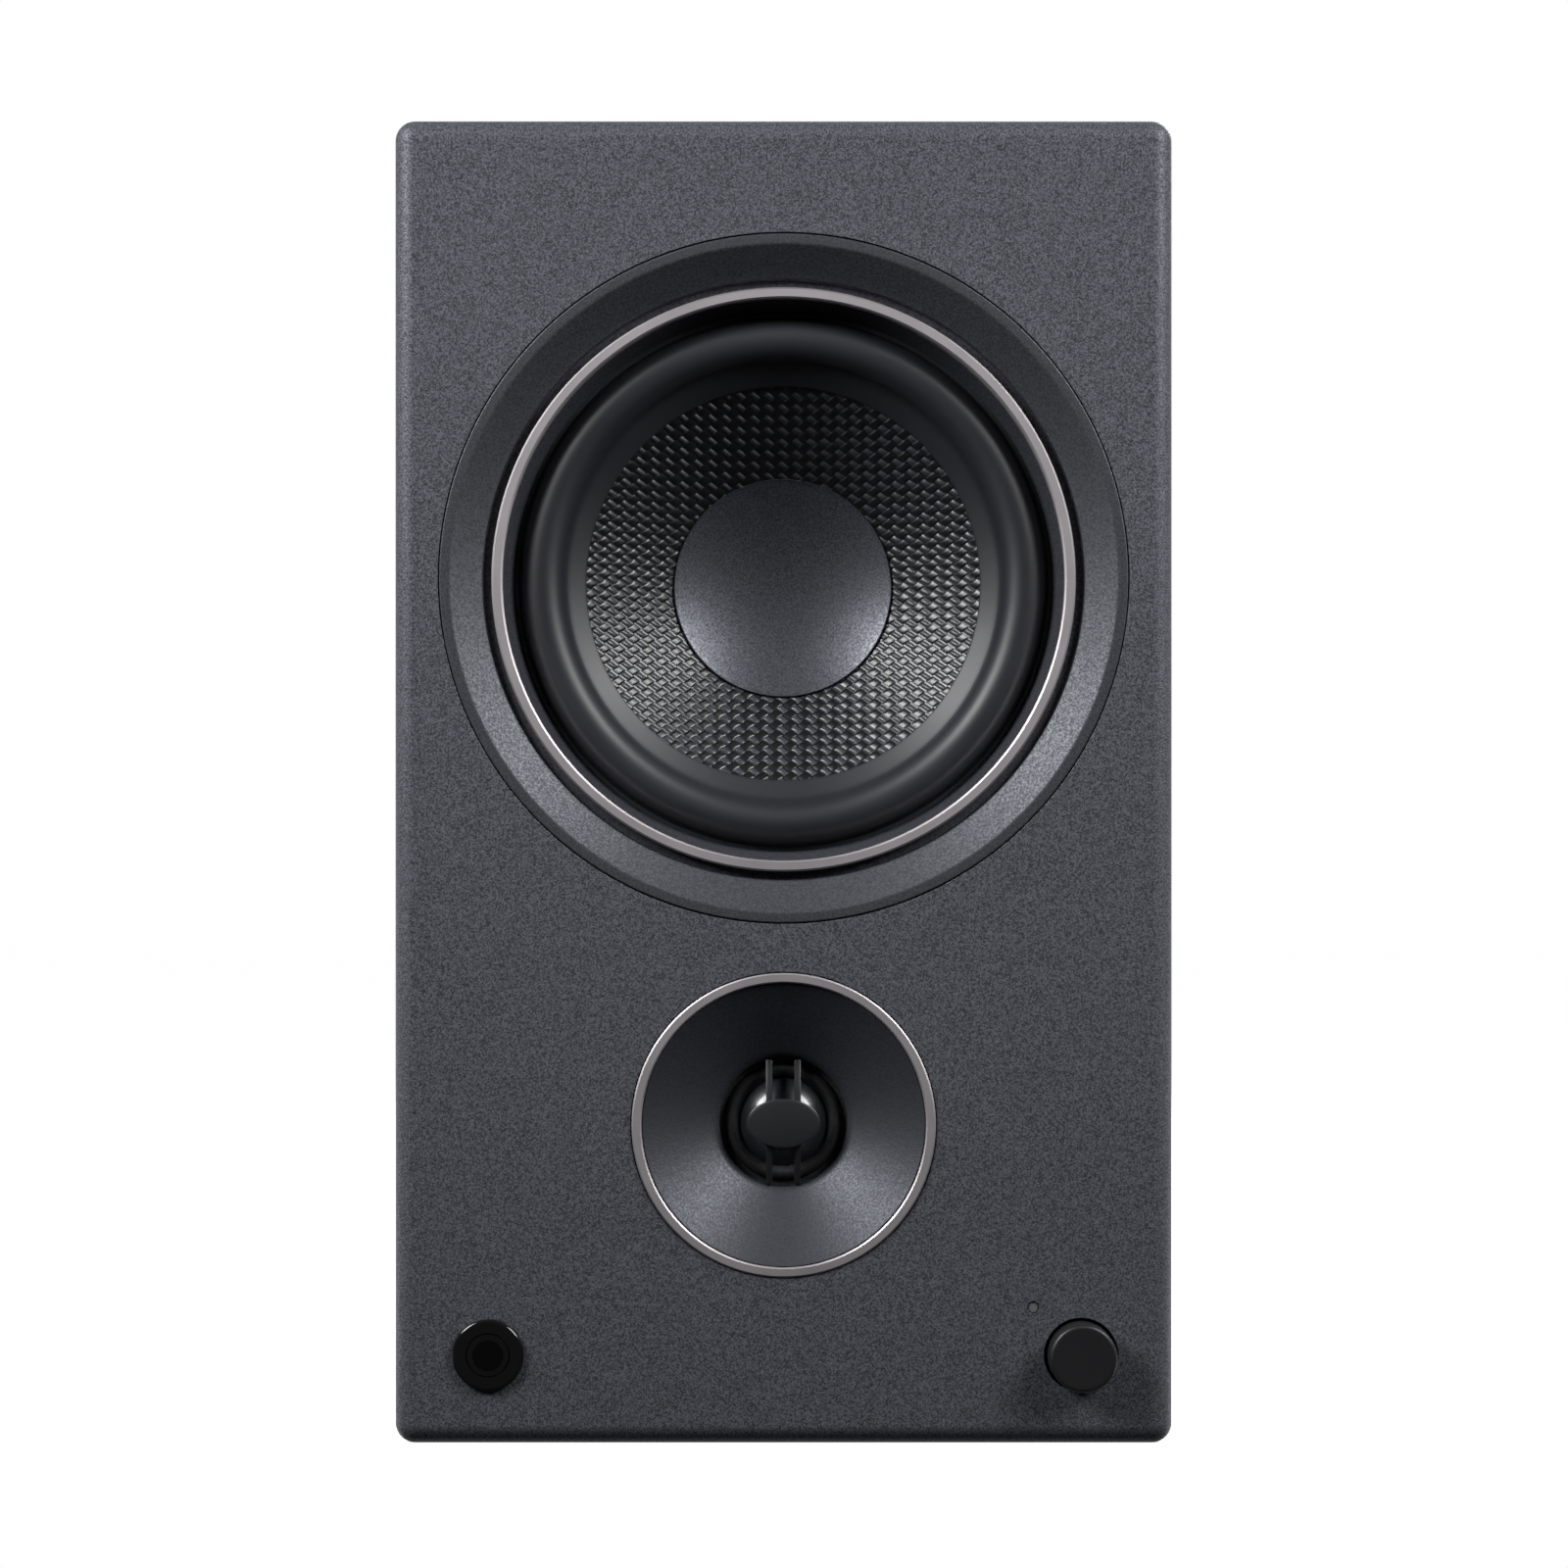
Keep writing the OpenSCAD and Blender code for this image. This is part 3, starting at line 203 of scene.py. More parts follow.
class Finish:
    """A material whose Principled shader takes constants on its sockets and patterns from nodes."""

    def __init__(self, name, colour=None, **constants):
        self.material = bpy.data.materials.new(name)
        self.material.use_nodes = True
        self.tree = self.material.node_tree
        self.shader = self.tree.nodes["Principled BSDF"]
        if colour:
            self.shader.inputs["Base Color"].default_value = (*colour, 1)
        for socket, value in constants.items():
            self.shader.inputs[socket.replace("_", " ")].default_value = value
        self.centre = (0, 0, 0)

    def node(self, kind, settings=None, output=0, **inputs):
        """Adds a node: its settings first, then the values or links of its sockets."""
        node = self.tree.nodes.new("ShaderNode" + kind)
        for name, value in (settings or {}).items():
            if name == "stops":
                ramp = node.color_ramp
                while len(ramp.elements) < len(value):
                    ramp.elements.new(0.5)
                for element, (place, colour) in zip(ramp.elements, value):
                    element.position = place
                    element.color = (*colour, 1) if isinstance(colour, tuple) else (colour,) * 3 + (1,)
            else:
                setattr(node, name, value)
        for name, value in inputs.items():
            if name.startswith("input_"):
                socket = node.inputs[int(name[6:])]
            else:
                socket = node.inputs[name.replace("_", " ")]
            if isinstance(value, Wire):
                self.tree.links.new(value.socket, socket)
            else:
                socket.default_value = value
        return Wire(self.tree, node.outputs[output])

    def place(self):
        """Object coordinates."""
        return self.node("TexCoord", output=3)

    def noise(self, size, detail=2.0, roughness=0.5, stretch=(1, 1, 1)):
        """Noise whose grains are about size metres across, from 0 to 1."""
        vector = self.node("Mapping", Vector=self.place(), Scale=tuple(s / size for s in stretch))
        return self.node("TexNoise", Vector=vector, Scale=1.0, Detail=detail, Roughness=roughness)

    def mix(self, share, dark, light):
        """A colour between two others."""
        sockets = {"input_0": share}
        sockets["input_6"] = dark if isinstance(dark, Wire) else (*dark, 1)
        sockets["input_7"] = light if isinstance(light, Wire) else (*light, 1)
        return self.node("Mix", {"data_type": "RGBA"}, output=2, **sockets)

    def feed(self, socket, wire):
        self.tree.links.new(wire.socket, self.shader.inputs[socket])

    def bump(self, height, depth, strength=1.0, before=None):
        """Raises the surface by height times depth metres."""
        inputs = {"Height": height, "Distance": depth, "Strength": strength}
        if before:
            inputs["Normal"] = before
        return self.node("Bump", **inputs)


def speckled(name, base, sparkle, roughness, grain=0.55 * mm, spread=0.5, flake=0.5):
    """A satin coat with a fine metallic speckle, patchy at arm's length and grainy close up."""
    finish = Finish(name, Roughness=roughness, Specular_IOR_Level=0.42, Metallic=flake)
    fine = finish.noise(grain, detail=1.5, roughness=0.6)
    coarse = finish.noise(1.7 * mm, detail=2.0)
    cloud = finish.noise(45 * mm, detail=3.0)
    grains = finish.node("MapRange", Value=fine, From_Min=0.36, From_Max=0.68)
    share = grains * (1 - spread * 0.35) + coarse * spread * 0.35
    tint = finish.mix(share, base, sparkle)
    finish.feed("Base Color", tint)
    finish.feed("Roughness", roughness + 0.10 * (0.5 - grains) + 0.05 * (cloud - 0.5))
    finish.feed("Normal", finish.bump(fine + 0.6 * coarse, 0.035 * mm, 0.9))
    return finish.material


def select_only(piece):
    bpy.ops.object.select_all(action="DESELECT")
    piece.select_set(True)
    bpy.context.view_layer.objects.active = piece


def apply_all(piece):
    select_only(piece)
    for modifier in list(piece.modifiers):
        bpy.ops.object.modifier_apply(modifier=modifier.name)


def add_bevel(piece, width, segments=3, angle=35):
    """Rounds the sharp edges and keeps the flats flat."""
    bevel = piece.modifiers.new("edge", "BEVEL")
    bevel.width = width
    bevel.segments = segments
    bevel.limit_method = "ANGLE"
    bevel.angle_limit = math.radians(angle)
    bevel.harden_normals = False
    bevel.use_clamp_overlap = True


def finish_piece(piece, name, material, body, nodes=(), smooth=35):
    """Places a piece in its mesh, smooths it, and hands it to the frame."""
    select_only(piece)
    bpy.ops.object.transform_apply(location=True, rotation=True, scale=True)
    bpy.ops.object.mode_set(mode="EDIT")
    bpy.ops.mesh.select_all(action="SELECT")
    bpy.ops.mesh.remove_doubles(threshold=0.002 * mm)
    bpy.ops.mesh.normals_make_consistent(inside=False)
    bpy.ops.object.mode_set(mode="OBJECT")
    bpy.ops.object.shade_smooth_by_angle(angle=math.radians(smooth))
    weigh = piece.modifiers.new("flats", "WEIGHTED_NORMAL")
    weigh.mode = "FACE_AREA"
    weigh.weight = 100
    weigh.keep_sharp = True
    apply_all(piece)
    piece.name = name
    piece.data.materials.clear()
    piece.data.materials.append(material)
    if nodes:
        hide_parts(*nodes)
    if body:
        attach(piece, body)
    return piece


def follow_by_reach(piece, body, share_at, start, end):
    """Bends a soft piece between the cabinet and a moving body, by each vertex's own share."""
    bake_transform(piece, "cabinet", body, start, end)
    for vertex, value in zip(piece.data.vertices, piece.data.attributes["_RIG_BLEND"].data):
        share = min(max(share_at(vertex.co), 0), 1)
        value.value = share * share * (3 - 2 * share)


def block(low, high):
    """A box between two corners."""
    bpy.ops.object.select_all(action="DESELECT")
    middle = (Vector(low) + Vector(high)) / 2
    size = Vector(high) - Vector(low)
    bpy.ops.mesh.primitive_cube_add(size=1, location=middle, scale=size)
    bpy.ops.object.transform_apply(location=False, rotation=False, scale=True)
    return bpy.context.object


def drill(piece, x, z, radius, start, end, sides=192):
    """Bores a round hole along Y, between two depths behind the baffle's face."""
    bpy.ops.object.select_all(action="DESELECT")
    bpy.ops.mesh.primitive_cylinder_add(
        vertices=sides, radius=radius, depth=end - start,
        location=(x, front + (start + end) / 2, z), rotation=(math.radians(90), 0, 0))
    cutter = bpy.context.object
    cut = piece.modifiers.new("hole", "BOOLEAN")
    cut.operation = "DIFFERENCE"
    cut.solver = "EXACT"
    cut.object = cutter
    apply_all(piece)
    bpy.data.objects.remove(cutter, do_unlink=True)


def middle_of(node):
    low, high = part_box(node)
    return (low + high) / 2


def radius_of(node):
    low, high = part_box(node)
    return (high.x - low.x) / 2


woofer = middle_of("woofer_magnet")
tweeter = middle_of("tweeter_magnet")
knob_at = middle_of("volume_knob")
lens_at = middle_of("ir_lens")
light_at = middle_of("led_light_pipe")
trim_radius = radius_of("woofer_trim_ring")
frame_radius = radius_of("woofer_frame")
ring_radius = radius_of("tweeter_waveguide")
knob_radius = radius_of("volume_knob")
lens_radius = radius_of("ir_lens")
corner_radius = 4.4 * mm

baffle = block(baffle_low, baffle_high)
bpy.ops.object.mode_set(mode="EDIT")
bpy.ops.mesh.select_all(action="DESELECT")
bpy.ops.object.mode_set(mode="OBJECT")
for edge in baffle.data.edges:
    a, b = (baffle.data.vertices[v].co for v in edge.vertices)
    edge.select = abs(a.y - b.y) > 1 * mm
bpy.ops.object.mode_set(mode="EDIT")
bpy.ops.mesh.bevel(offset=corner_radius, segments=10, offset_type="OFFSET")
bpy.ops.object.mode_set(mode="OBJECT")
drill(baffle, woofer.x, woofer.z, trim_radius + 0.25 * mm, -1 * mm, 9 * mm, 256)
drill(baffle, woofer.x, woofer.z, frame_radius + 0.25 * mm, -1 * mm, 16.5 * mm, 192)
drill(baffle, woofer.x, woofer.z, frame_radius - 6 * mm, -1 * mm, 24 * mm, 192)
drill(baffle, tweeter.x, tweeter.z, ring_radius + 0.25 * mm, -1 * mm, 5 * mm, 192)
drill(baffle, tweeter.x, tweeter.z, ring_radius - 5.35 * mm, -1 * mm, 24 * mm, 128)
drill(baffle, knob_at.x, knob_at.z, knob_radius + 0.7 * mm, -1 * mm, 24 * mm, 96)
drill(baffle, lens_at.x, lens_at.z, lens_radius - 0.55 * mm, -1 * mm, 24 * mm, 96)
drill(baffle, light_at.x, light_at.z, 1.3 * mm, -1 * mm, 24 * mm, 48)
add_bevel(baffle, 0.35 * mm, 3, 40)
apply_all(baffle)
coat = speckled("baffle_coat", (0.021, 0.022, 0.027), (0.152, 0.159, 0.187), 0.58, 0.34 * mm, 0.3)
finish_piece(baffle, "baffle", coat, "cabinet", ["front_baffle"], 30)

# ------------------------------------------------------------------ woofer trim ring
# A moulded ring in the same black, pressed into the baffle by four pegs. A narrow flat lip falls
# away as a straight cone to a groove that holds the metal ring, and a short snout hides the frame.


def turned(name, x, z, profile, sides=192):
    """Turns a profile of (radius, depth) points about an axis along Y, by extruding a circle's edge."""
    bpy.ops.object.select_all(action="DESELECT")
    radius, depth = profile[0]
    bpy.ops.mesh.primitive_circle_add(
        vertices=sides, radius=radius, location=(x, front + depth, z), rotation=(math.radians(90), 0, 0))
    piece = bpy.context.object
    piece.name = name
    bpy.ops.object.mode_set(mode="EDIT")
    for next_radius, next_depth in profile[1:]:
        bpy.ops.mesh.extrude_region_move(TRANSFORM_OT_translate={"value": (0, next_depth - depth, 0)})
        if next_radius < 1e-6:
            bpy.ops.mesh.merge(type="CENTER")
            break
        share = next_radius / radius
        bpy.ops.transform.resize(value=(share, 1, share), center_override=(x, front + next_depth, z))
        radius, depth = next_radius, next_depth
    bpy.ops.object.mode_set(mode="OBJECT")
    return piece


def arc(centre, radius, start, end, steps):
    """Points of a round stretch of a profile, by angle in degrees from the direction of growing radius."""
    turns = [math.radians(start + (end - start) * i / steps) for i in range(steps + 1)]
    return [(centre[0] + radius * math.cos(t), centre[1] + radius * math.sin(t)) for t in turns]


funnel_in = frame_radius - 0.2 * mm
accent_out = frame_radius - 2.15 * mm
accent_in = accent_out - 2.4 * mm
snout = frame_radius - 6.6 * mm
lip_round = 0.35 * mm
trim = turned("trim", woofer.x, woofer.z, [
    (trim_radius, 9 * mm), (trim_radius, lip_round),
    *arc((trim_radius - lip_round, lip_round), lip_round, 0, -90, 4)[1:],
    (trim_radius - 1.9 * mm, 0), (trim_radius - 2.25 * mm, 0.05 * mm), (trim_radius - 2.6 * mm, 0.22 * mm),
    (funnel_in + 0.45 * mm, 4.3 * mm), (funnel_in + 0.15 * mm, 4.52 * mm), (funnel_in, 4.8 * mm),
    (funnel_in - 0.2 * mm, 6.2 * mm), (accent_in - 0.15 * mm, 6.2 * mm),
    (snout, 11.8 * mm), (snout + 0.15 * mm, 12 * mm), (snout + 1.3 * mm, 12 * mm),
    (accent_in + 0.6 * mm, 8.4 * mm), (funnel_in + 0.9 * mm, 8.4 * mm), (funnel_in + 1.3 * mm, 6.9 * mm),
    (trim_radius - 2.2 * mm, 3 * mm), (trim_radius - 2.2 * mm, 9 * mm), (trim_radius, 9 * mm)], 288)
for turn in range(4):
    angle = math.radians(90 * turn)
    reach = trim_radius - 5.6 * mm
    bpy.ops.object.select_all(action="DESELECT")
    bpy.ops.mesh.primitive_cylinder_add(
        vertices=32, radius=2 * mm, depth=10 * mm, rotation=(math.radians(90), 0, 0),
        location=(woofer.x + reach * math.cos(angle), front + 10 * mm, woofer.z + reach * math.sin(angle)))
    peg = bpy.context.object
    add_bevel(peg, 0.4 * mm, 2)
    apply_all(peg)
    trim.select_set(True)
    bpy.context.view_layer.objects.active = trim
    bpy.ops.object.join()
trim_coat = speckled("trim_coat", (0.030, 0.031, 0.037), (0.085, 0.089, 0.104), 0.50, 0.5 * mm, 0.7)
finish_piece(trim, "woofer_trim", trim_coat, "cabinet", ["woofer_trim_ring"], 24)

# ------------------------------------------------------------------ metal accent rings
# Two turned aluminium rings in a warm grey anodised finish, with fine turning lines. The large one
# sits in the trim's groove and the small one round the tweeter, and both have bright chamfers.


def anodised(name, x, z):
    """Satin metal with turning lines round an axis at x, z."""
    finish = Finish(name, Metallic=1.0, Roughness=0.45)
    sides = finish.node("SeparateXYZ", Vector=finish.place())
    across = sides - x
    height = Wire(finish.tree, sides.socket.node.outputs[2]) - z
    radius = (across * across + height * height) ** 0.5
    lines = finish.node("TexNoise", {"noise_dimensions": "1D"}, W=radius * 9000, Scale=1.0, Detail=2.0)
    blotch = finish.noise(14 * mm, detail=3.0)
    share = blotch * 0.5 + lines * 0.5
    finish.feed("Base Color", finish.mix(share, (0.50, 0.465, 0.485), (0.62, 0.585, 0.60)))
    finish.feed("Roughness", 0.42 + 0.12 * lines + 0.06 * blotch)
    finish.feed("Normal", finish.bump(lines, 0.006 * mm, 0.6))
    return finish.material


def chamfered_ring(name, at, inner, outer, face, back, chamfer, material, node, sides):
    soft = chamfer * 0.25
    ring = turned(name, at.x, at.z, [
        (inner, back), (inner, face + chamfer), (inner + soft, face + chamfer - soft),
        (inner + chamfer - soft, face + soft), (inner + chamfer, face), (outer - chamfer, face),
        (outer - chamfer + soft, face + soft), (outer - soft, face + chamfer - soft),
        (outer, face + chamfer), (outer, back), (inner, back)], sides)
    finish_piece(ring, name, material, "cabinet", [node], 25)


chamfered_ring("woofer_metal_ring", woofer, accent_in, accent_out, 3.4 * mm, 6.2 * mm, 0.4 * mm,
               anodised("woofer_anodising", woofer.x, woofer.z), "woofer_accent_ring", 288)
chamfered_ring("tweeter_metal_ring", tweeter, ring_radius - 2.15 * mm, ring_radius, -0.5 * mm, 1.5 * mm,
               0.32 * mm, anodised("tweeter_anodising", tweeter.x, tweeter.z), "tweeter_accent_ring", 224)

# ------------------------------------------------------------------ woofer surround
# A moulded rubber half-roll. Its outer flange is glued to the frame, and its inner skirt lies over
# the edge of the cone.
roll_out = frame_radius - 8.2 * mm
roll_width = 9.3 * mm
cone_edge = roll_out - roll_width
cone_front = 13.1 * mm
cone_slope = 0.65
rubber = 0.6 * mm
roll_centre = (roll_out - roll_width / 2, 12.7 * mm)
roll_radius = roll_width / 2 + rubber / 2
skirt_in = cone_edge - 5 * mm


def cone_depth(radius):
    """Depth of the cone's front face at a radius."""
    return cone_front + (cone_edge - radius) * cone_slope


surround = turned("surround", woofer.x, woofer.z, [
    (roll_out + 2.3 * mm, 13 * mm), (roll_out + 2.3 * mm, 12.4 * mm),
    (roll_out + 0.75 * mm, 12.4 * mm),
    *arc(roll_centre, roll_radius, -12, -168, 28),
    (cone_edge - 0.6 * mm, cone_depth(cone_edge - 0.3 * mm) - 0.62 * mm),
    *[(skirt_in + 4 * mm * t, cone_depth(skirt_in + 4 * mm * t) - 0.55 * mm)
      for t in (0.95, 0.75, 0.5, 0.25, 0.05)],
    (skirt_in, cone_depth(skirt_in) - 0.42 * mm), (skirt_in, cone_depth(skirt_in) - 0.05 * mm),
    (cone_edge - 0.4 * mm, cone_depth(cone_edge - 0.4 * mm) - 0.06 * mm),
    *arc(roll_centre, roll_radius - rubber, -176, -4, 24),
    (roll_out + 0.3 * mm, 13 * mm), (roll_out + 2.3 * mm, 13 * mm)], 256)
rubber_skin = Finish("surround_rubber", (0.012, 0.012, 0.0135), Roughness=0.48, Specular_IOR_Level=0.5)
bloom = rubber_skin.noise(30 * mm, detail=3.0)
grain = rubber_skin.noise(0.35 * mm, detail=2.0)
rubber_shade = rubber_skin.mix(bloom * 0.7 + grain * 0.3, (0.0085, 0.0091, 0.0115), (0.0165, 0.0176, 0.0220))
rubber_skin.feed("Base Color", rubber_shade)
rubber_skin.feed("Roughness", 0.39 + 0.12 * bloom + 0.05 * grain)
rubber_skin.feed("Normal", rubber_skin.bump(grain, 0.02 * mm, 0.6))
finish_piece(surround, "woofer_half_roll", rubber_skin.material, None, ["woofer_surround"], 40)
follow_by_reach(surround, "woofer_cone",
                lambda co: (roll_out - math.hypot(co.x - woofer.x, co.z - woofer.z)) / roll_width,
                (woofer.x + roll_out, front + 13 * mm, woofer.z),
                (woofer.x + cone_edge, front + 13 * mm, woofer.z))

# ------------------------------------------------------------------ woofer cone
# A pressed cone of woven fibre in a clear resin. Flat dark tapes run on one slant, and narrow
# threads cross them on the other, their colour painted brighter as a painted glint. It is glued to the coil
# former at its neck.
former = radius_of("woofer_coil_former")
neck = former
cone_thickness = 0.8 * mm
rings = 24
cone = turned("cone", woofer.x, woofer.z, [
    *[(cone_edge + (neck - cone_edge) * i / rings, cone_depth(cone_edge + (neck - cone_edge) * i / rings))
      for i in range(rings + 1)],
    (neck, cone_depth(neck) + cone_thickness), (cone_edge, cone_front + cone_thickness),
    (cone_edge, cone_front)], 192)
cell_wide = 3.2 * mm
cell_high = 2.4 * mm
narrow = 0.62
weave = Finish("woven_fibre", Roughness=0.3, Specular_IOR_Level=0.52)
sides = weave.node("SeparateXYZ", Vector=weave.place())
across = sides - woofer.x
height = Wire(weave.tree, sides.socket.node.outputs[2]) - woofer.z
u = across * (1 / cell_wide) + height * (1 / cell_high)
v = across * (1 / cell_wide) - height * (1 / cell_high)
u_cell = u.maths("FLOOR", u)
v_cell = v.maths("FLOOR", v)
u_in = abs((u - u_cell) - 0.5) * 2
v_in = abs((v - v_cell) - 0.5) * 2
odd = ((u_cell + v_cell) % 2.0) > 0.5
# This mask marks the weft strands for the relief, and also where the painted glint colour goes.
weft_and_painted_glint = odd * (u_in < narrow)
weft_height = (1 - (u_in * (1 / narrow)) ** 2.0) * (1 - 0.5 * v_in ** 2.0)
warp_height = (1 - odd) * (1 - v_in ** 4.0) * (0.75 - 0.45 * u_in ** 2.0)
relief = weft_and_painted_glint * weft_height + (1 - weft_and_painted_glint) * warp_height
along = weave.node("CombineXYZ", X=weft_and_painted_glint * u * 11 + (1 - weft_and_painted_glint) * v * 11, Y=weft_and_painted_glint * 3.0,
                   Z=(u_cell + v_cell * 7.0))
strand = weave.node("TexNoise", Vector=along, Scale=1.0, Detail=1.0)
tape = weave.mix(strand, (0.0022, 0.0023, 0.0027), (0.0085, 0.0090, 0.0105))
# Painted glint: the narrow threads take a far brighter colour than the tapes, standing in for the light they
# catch.
painted_glint_thread = weave.mix(strand, (0.013, 0.014, 0.017), (0.058, 0.062, 0.074))
weave.feed("Base Color", weave.mix(weft_and_painted_glint, tape, painted_glint_thread))
weave.feed("Roughness", 0.30 + 0.06 * strand + 0.05 * weft_and_painted_glint)
weave.feed("Normal", weave.bump(relief + 0.10 * strand, 0.32 * mm, 1.0))
finish_piece(cone, "woofer_woven_cone", weave.material, "woofer_cone", ["woofer_cone"], 40)

# ------------------------------------------------------------------ woofer dust cap
# A dished cap, pressed from thin sheet and coated satin black with a fine speckle. Its cut edge is
# glued down on the cone.
cap_radius = radius_of("woofer_dust_cap")
cap_rim = cone_depth(cap_radius) - 0.1 * mm
cap_dish = 6 * mm
cap_sphere = (cap_radius ** 2 + cap_dish ** 2) / (2 * cap_dish)
steps = 20
inner_edge = cap_radius - 0.35 * mm
front_face = [(inner_edge * (1 - i / steps),
               cap_rim - 0.45 * mm + cap_dish - cap_sphere
               + math.sqrt(cap_sphere ** 2 - (inner_edge * (1 - i / steps)) ** 2)) for i in range(steps + 1)]
cap = turned("cap", woofer.x, woofer.z, [
    (cap_radius - 0.5 * mm, cap_rim + 0.25 * mm), (cap_radius, cap_rim), (cap_radius, cap_rim - 0.4 * mm),
    (cap_radius - 0.15 * mm, cap_rim - 0.55 * mm), *front_face], 192)
cap_coat = speckled("cap_coat", (0.032, 0.033, 0.040), (0.112, 0.117, 0.138), 0.43, 0.42 * mm, 0.5)
finish_piece(cap, "woofer_dished_cap", cap_coat, "woofer_cone", ["woofer_dust_cap"], 40)

# ------------------------------------------------------------------ woofer frame and motor
# Pressed steel in black powder coat, a ferrite ring between zinc-plated plates, and the coil, its
# former and the spider behind the cone. They keep their design meshes and only take a finish.


def worn(name, dark, light, roughness, grain, depth, metallic=0.0, **constants):
    """A plain moulded, cast or painted skin: colour drift, fine grain and uneven gloss."""
    finish = Finish(name, Metallic=metallic, Roughness=roughness, **constants)
    drift = finish.noise(26 * mm, detail=3.0)
    fine = finish.noise(grain, detail=2.0, roughness=0.6)
    finish.feed("Base Color", finish.mix(drift * 0.6 + fine * 0.4, dark, light))
    finish.feed("Roughness", roughness + 0.10 * (drift - 0.5) + 0.10 * (fine - 0.5))
    finish.feed("Normal", finish.bump(fine, depth, 0.8))
    return finish.material


def coat_node(node, material):
    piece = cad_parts[node]
    piece.data.materials.clear()
    piece.data.materials.append(material)


powder_black = worn("powder_black", (0.016, 0.016, 0.017), (0.030, 0.030, 0.032), 0.55, 0.5 * mm, 0.03 * mm)
zinc = worn("zinc_plate", (0.42, 0.43, 0.44), (0.58, 0.59, 0.60), 0.34, 0.6 * mm, 0.01 * mm, 1.0)
ferrite = worn("ferrite", (0.035, 0.035, 0.037), (0.060, 0.060, 0.063), 0.7, 0.8 * mm, 0.06 * mm)
copper = worn("enamelled_copper", (0.50, 0.20, 0.08), (0.66, 0.30, 0.13), 0.3, 0.3 * mm, 0.02 * mm, 1.0)
treated_cloth = worn("treated_cloth", (0.42, 0.31, 0.14), (0.58, 0.45, 0.24), 0.8, 0.5 * mm, 0.08 * mm)
film = worn("former_film", (0.33, 0.20, 0.07), (0.47, 0.31, 0.12), 0.35, 1 * mm, 0.01 * mm)
foam = worn("gasket_foam", (0.010, 0.010, 0.010), (0.022, 0.022, 0.022), 0.9, 0.4 * mm, 0.08 * mm)
phenolic = worn("phenolic", (0.16, 0.08, 0.03), (0.25, 0.14, 0.06), 0.5, 0.5 * mm, 0.02 * mm)
braid = worn("braid", (0.42, 0.30, 0.15), (0.62, 0.48, 0.27), 0.4, 0.25 * mm, 0.05 * mm, 1.0)
for node, material in {
        "woofer_frame": powder_black, "woofer_screws": powder_black, "woofer_gasket": foam,
        "woofer_coil_former": film, "woofer_voice_coil": copper, "woofer_spider": treated_cloth,
        "woofer_top_plate": zinc, "woofer_magnet": ferrite, "woofer_pole_plate": zinc,
        "woofer_terminals": phenolic}.items():
    coat_node(node, material)

# ------------------------------------------------------------------ tweeter waveguide
# A moulded cone in satin black, glued into the baffle with the tweeter's motor on its back. The
# straight wall ends in a rounded lip, and a short throat leads to the dome.
guide_start = ring_radius - 2.25 * mm
throat = 14.2 * mm
lip = 15.5 * mm
guide = turned("guide", tweeter.x, tweeter.z, [
    (ring_radius, 1.5 * mm), (guide_start, 1.5 * mm), (guide_start, 0.55 * mm),
    (guide_start - 0.12 * mm, 0.38 * mm), (guide_start - 0.35 * mm, 0.42 * mm),
    (lip + 0.5 * mm, 8.9 * mm), (lip, 9.22 * mm), (lip - 0.45 * mm, 9.6 * mm),
    (throat + 0.42 * mm, 10.1 * mm), (throat + 0.12 * mm, 10.6 * mm), (throat, 11.2 * mm),
    (throat, 13 * mm), (24 * mm, 13 * mm),
    (24 * mm, 7.5 * mm), (27 * mm, 5 * mm), (ring_radius, 5 * mm), (ring_radius, 1.5 * mm)], 224)
guide_skin = speckled("waveguide_skin", (0.033, 0.035, 0.042), (0.062, 0.066, 0.079), 0.46, 0.5 * mm, 0.8)
finish_piece(guide, "tweeter_cone_guide", guide_skin, "cabinet", ["tweeter_waveguide"], 30)

# ------------------------------------------------------------------ tweeter dome and roll
# A coated silk dome with a gloss lacquer, and a thin roll of uncoated cloth that carries it.
dome_radius = radius_of("tweeter_dome")
dome_low, dome_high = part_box("tweeter_dome")
dome_top = dome_low.y - front
dome_rim = dome_high.y - front
dome_height = dome_rim - dome_top
dome_sphere = (dome_radius ** 2 + dome_height ** 2) / (2 * dome_height)


def dome_points(radius, crown, count):
    """Points from the rim to the crown of a spherical cap."""
    reach = math.degrees(math.asin(radius / dome_sphere))
    return [(dome_sphere * math.sin(math.radians(reach * (1 - i / count))),
             crown + dome_sphere * (1 - math.cos(math.radians(reach * (1 - i / count)))))
            for i in range(count)] + [(0, crown)]


dome = turned("dome", tweeter.x, tweeter.z, [
    (dome_radius, dome_rim), *dome_points(dome_radius - 0.02 * mm, dome_top, 16)], 96)
lacquer = Finish("dome_lacquer", (0.010, 0.010, 0.012), Roughness=0.24, Coat_Weight=0.6, Coat_Roughness=0.12)
silk = lacquer.noise(0.28 * mm, detail=2.0)
haze = lacquer.noise(4 * mm, detail=2.0)
lacquer.feed("Base Color", lacquer.mix(haze, (0.012, 0.013, 0.016), (0.026, 0.028, 0.033)))
lacquer.feed("Roughness", 0.26 + 0.14 * silk)
lacquer.feed("Normal", lacquer.bump(silk, 0.012 * mm, 0.5))
finish_piece(dome, "tweeter_silk_dome", lacquer.material, "tweeter_dome", ["tweeter_dome"], 60)

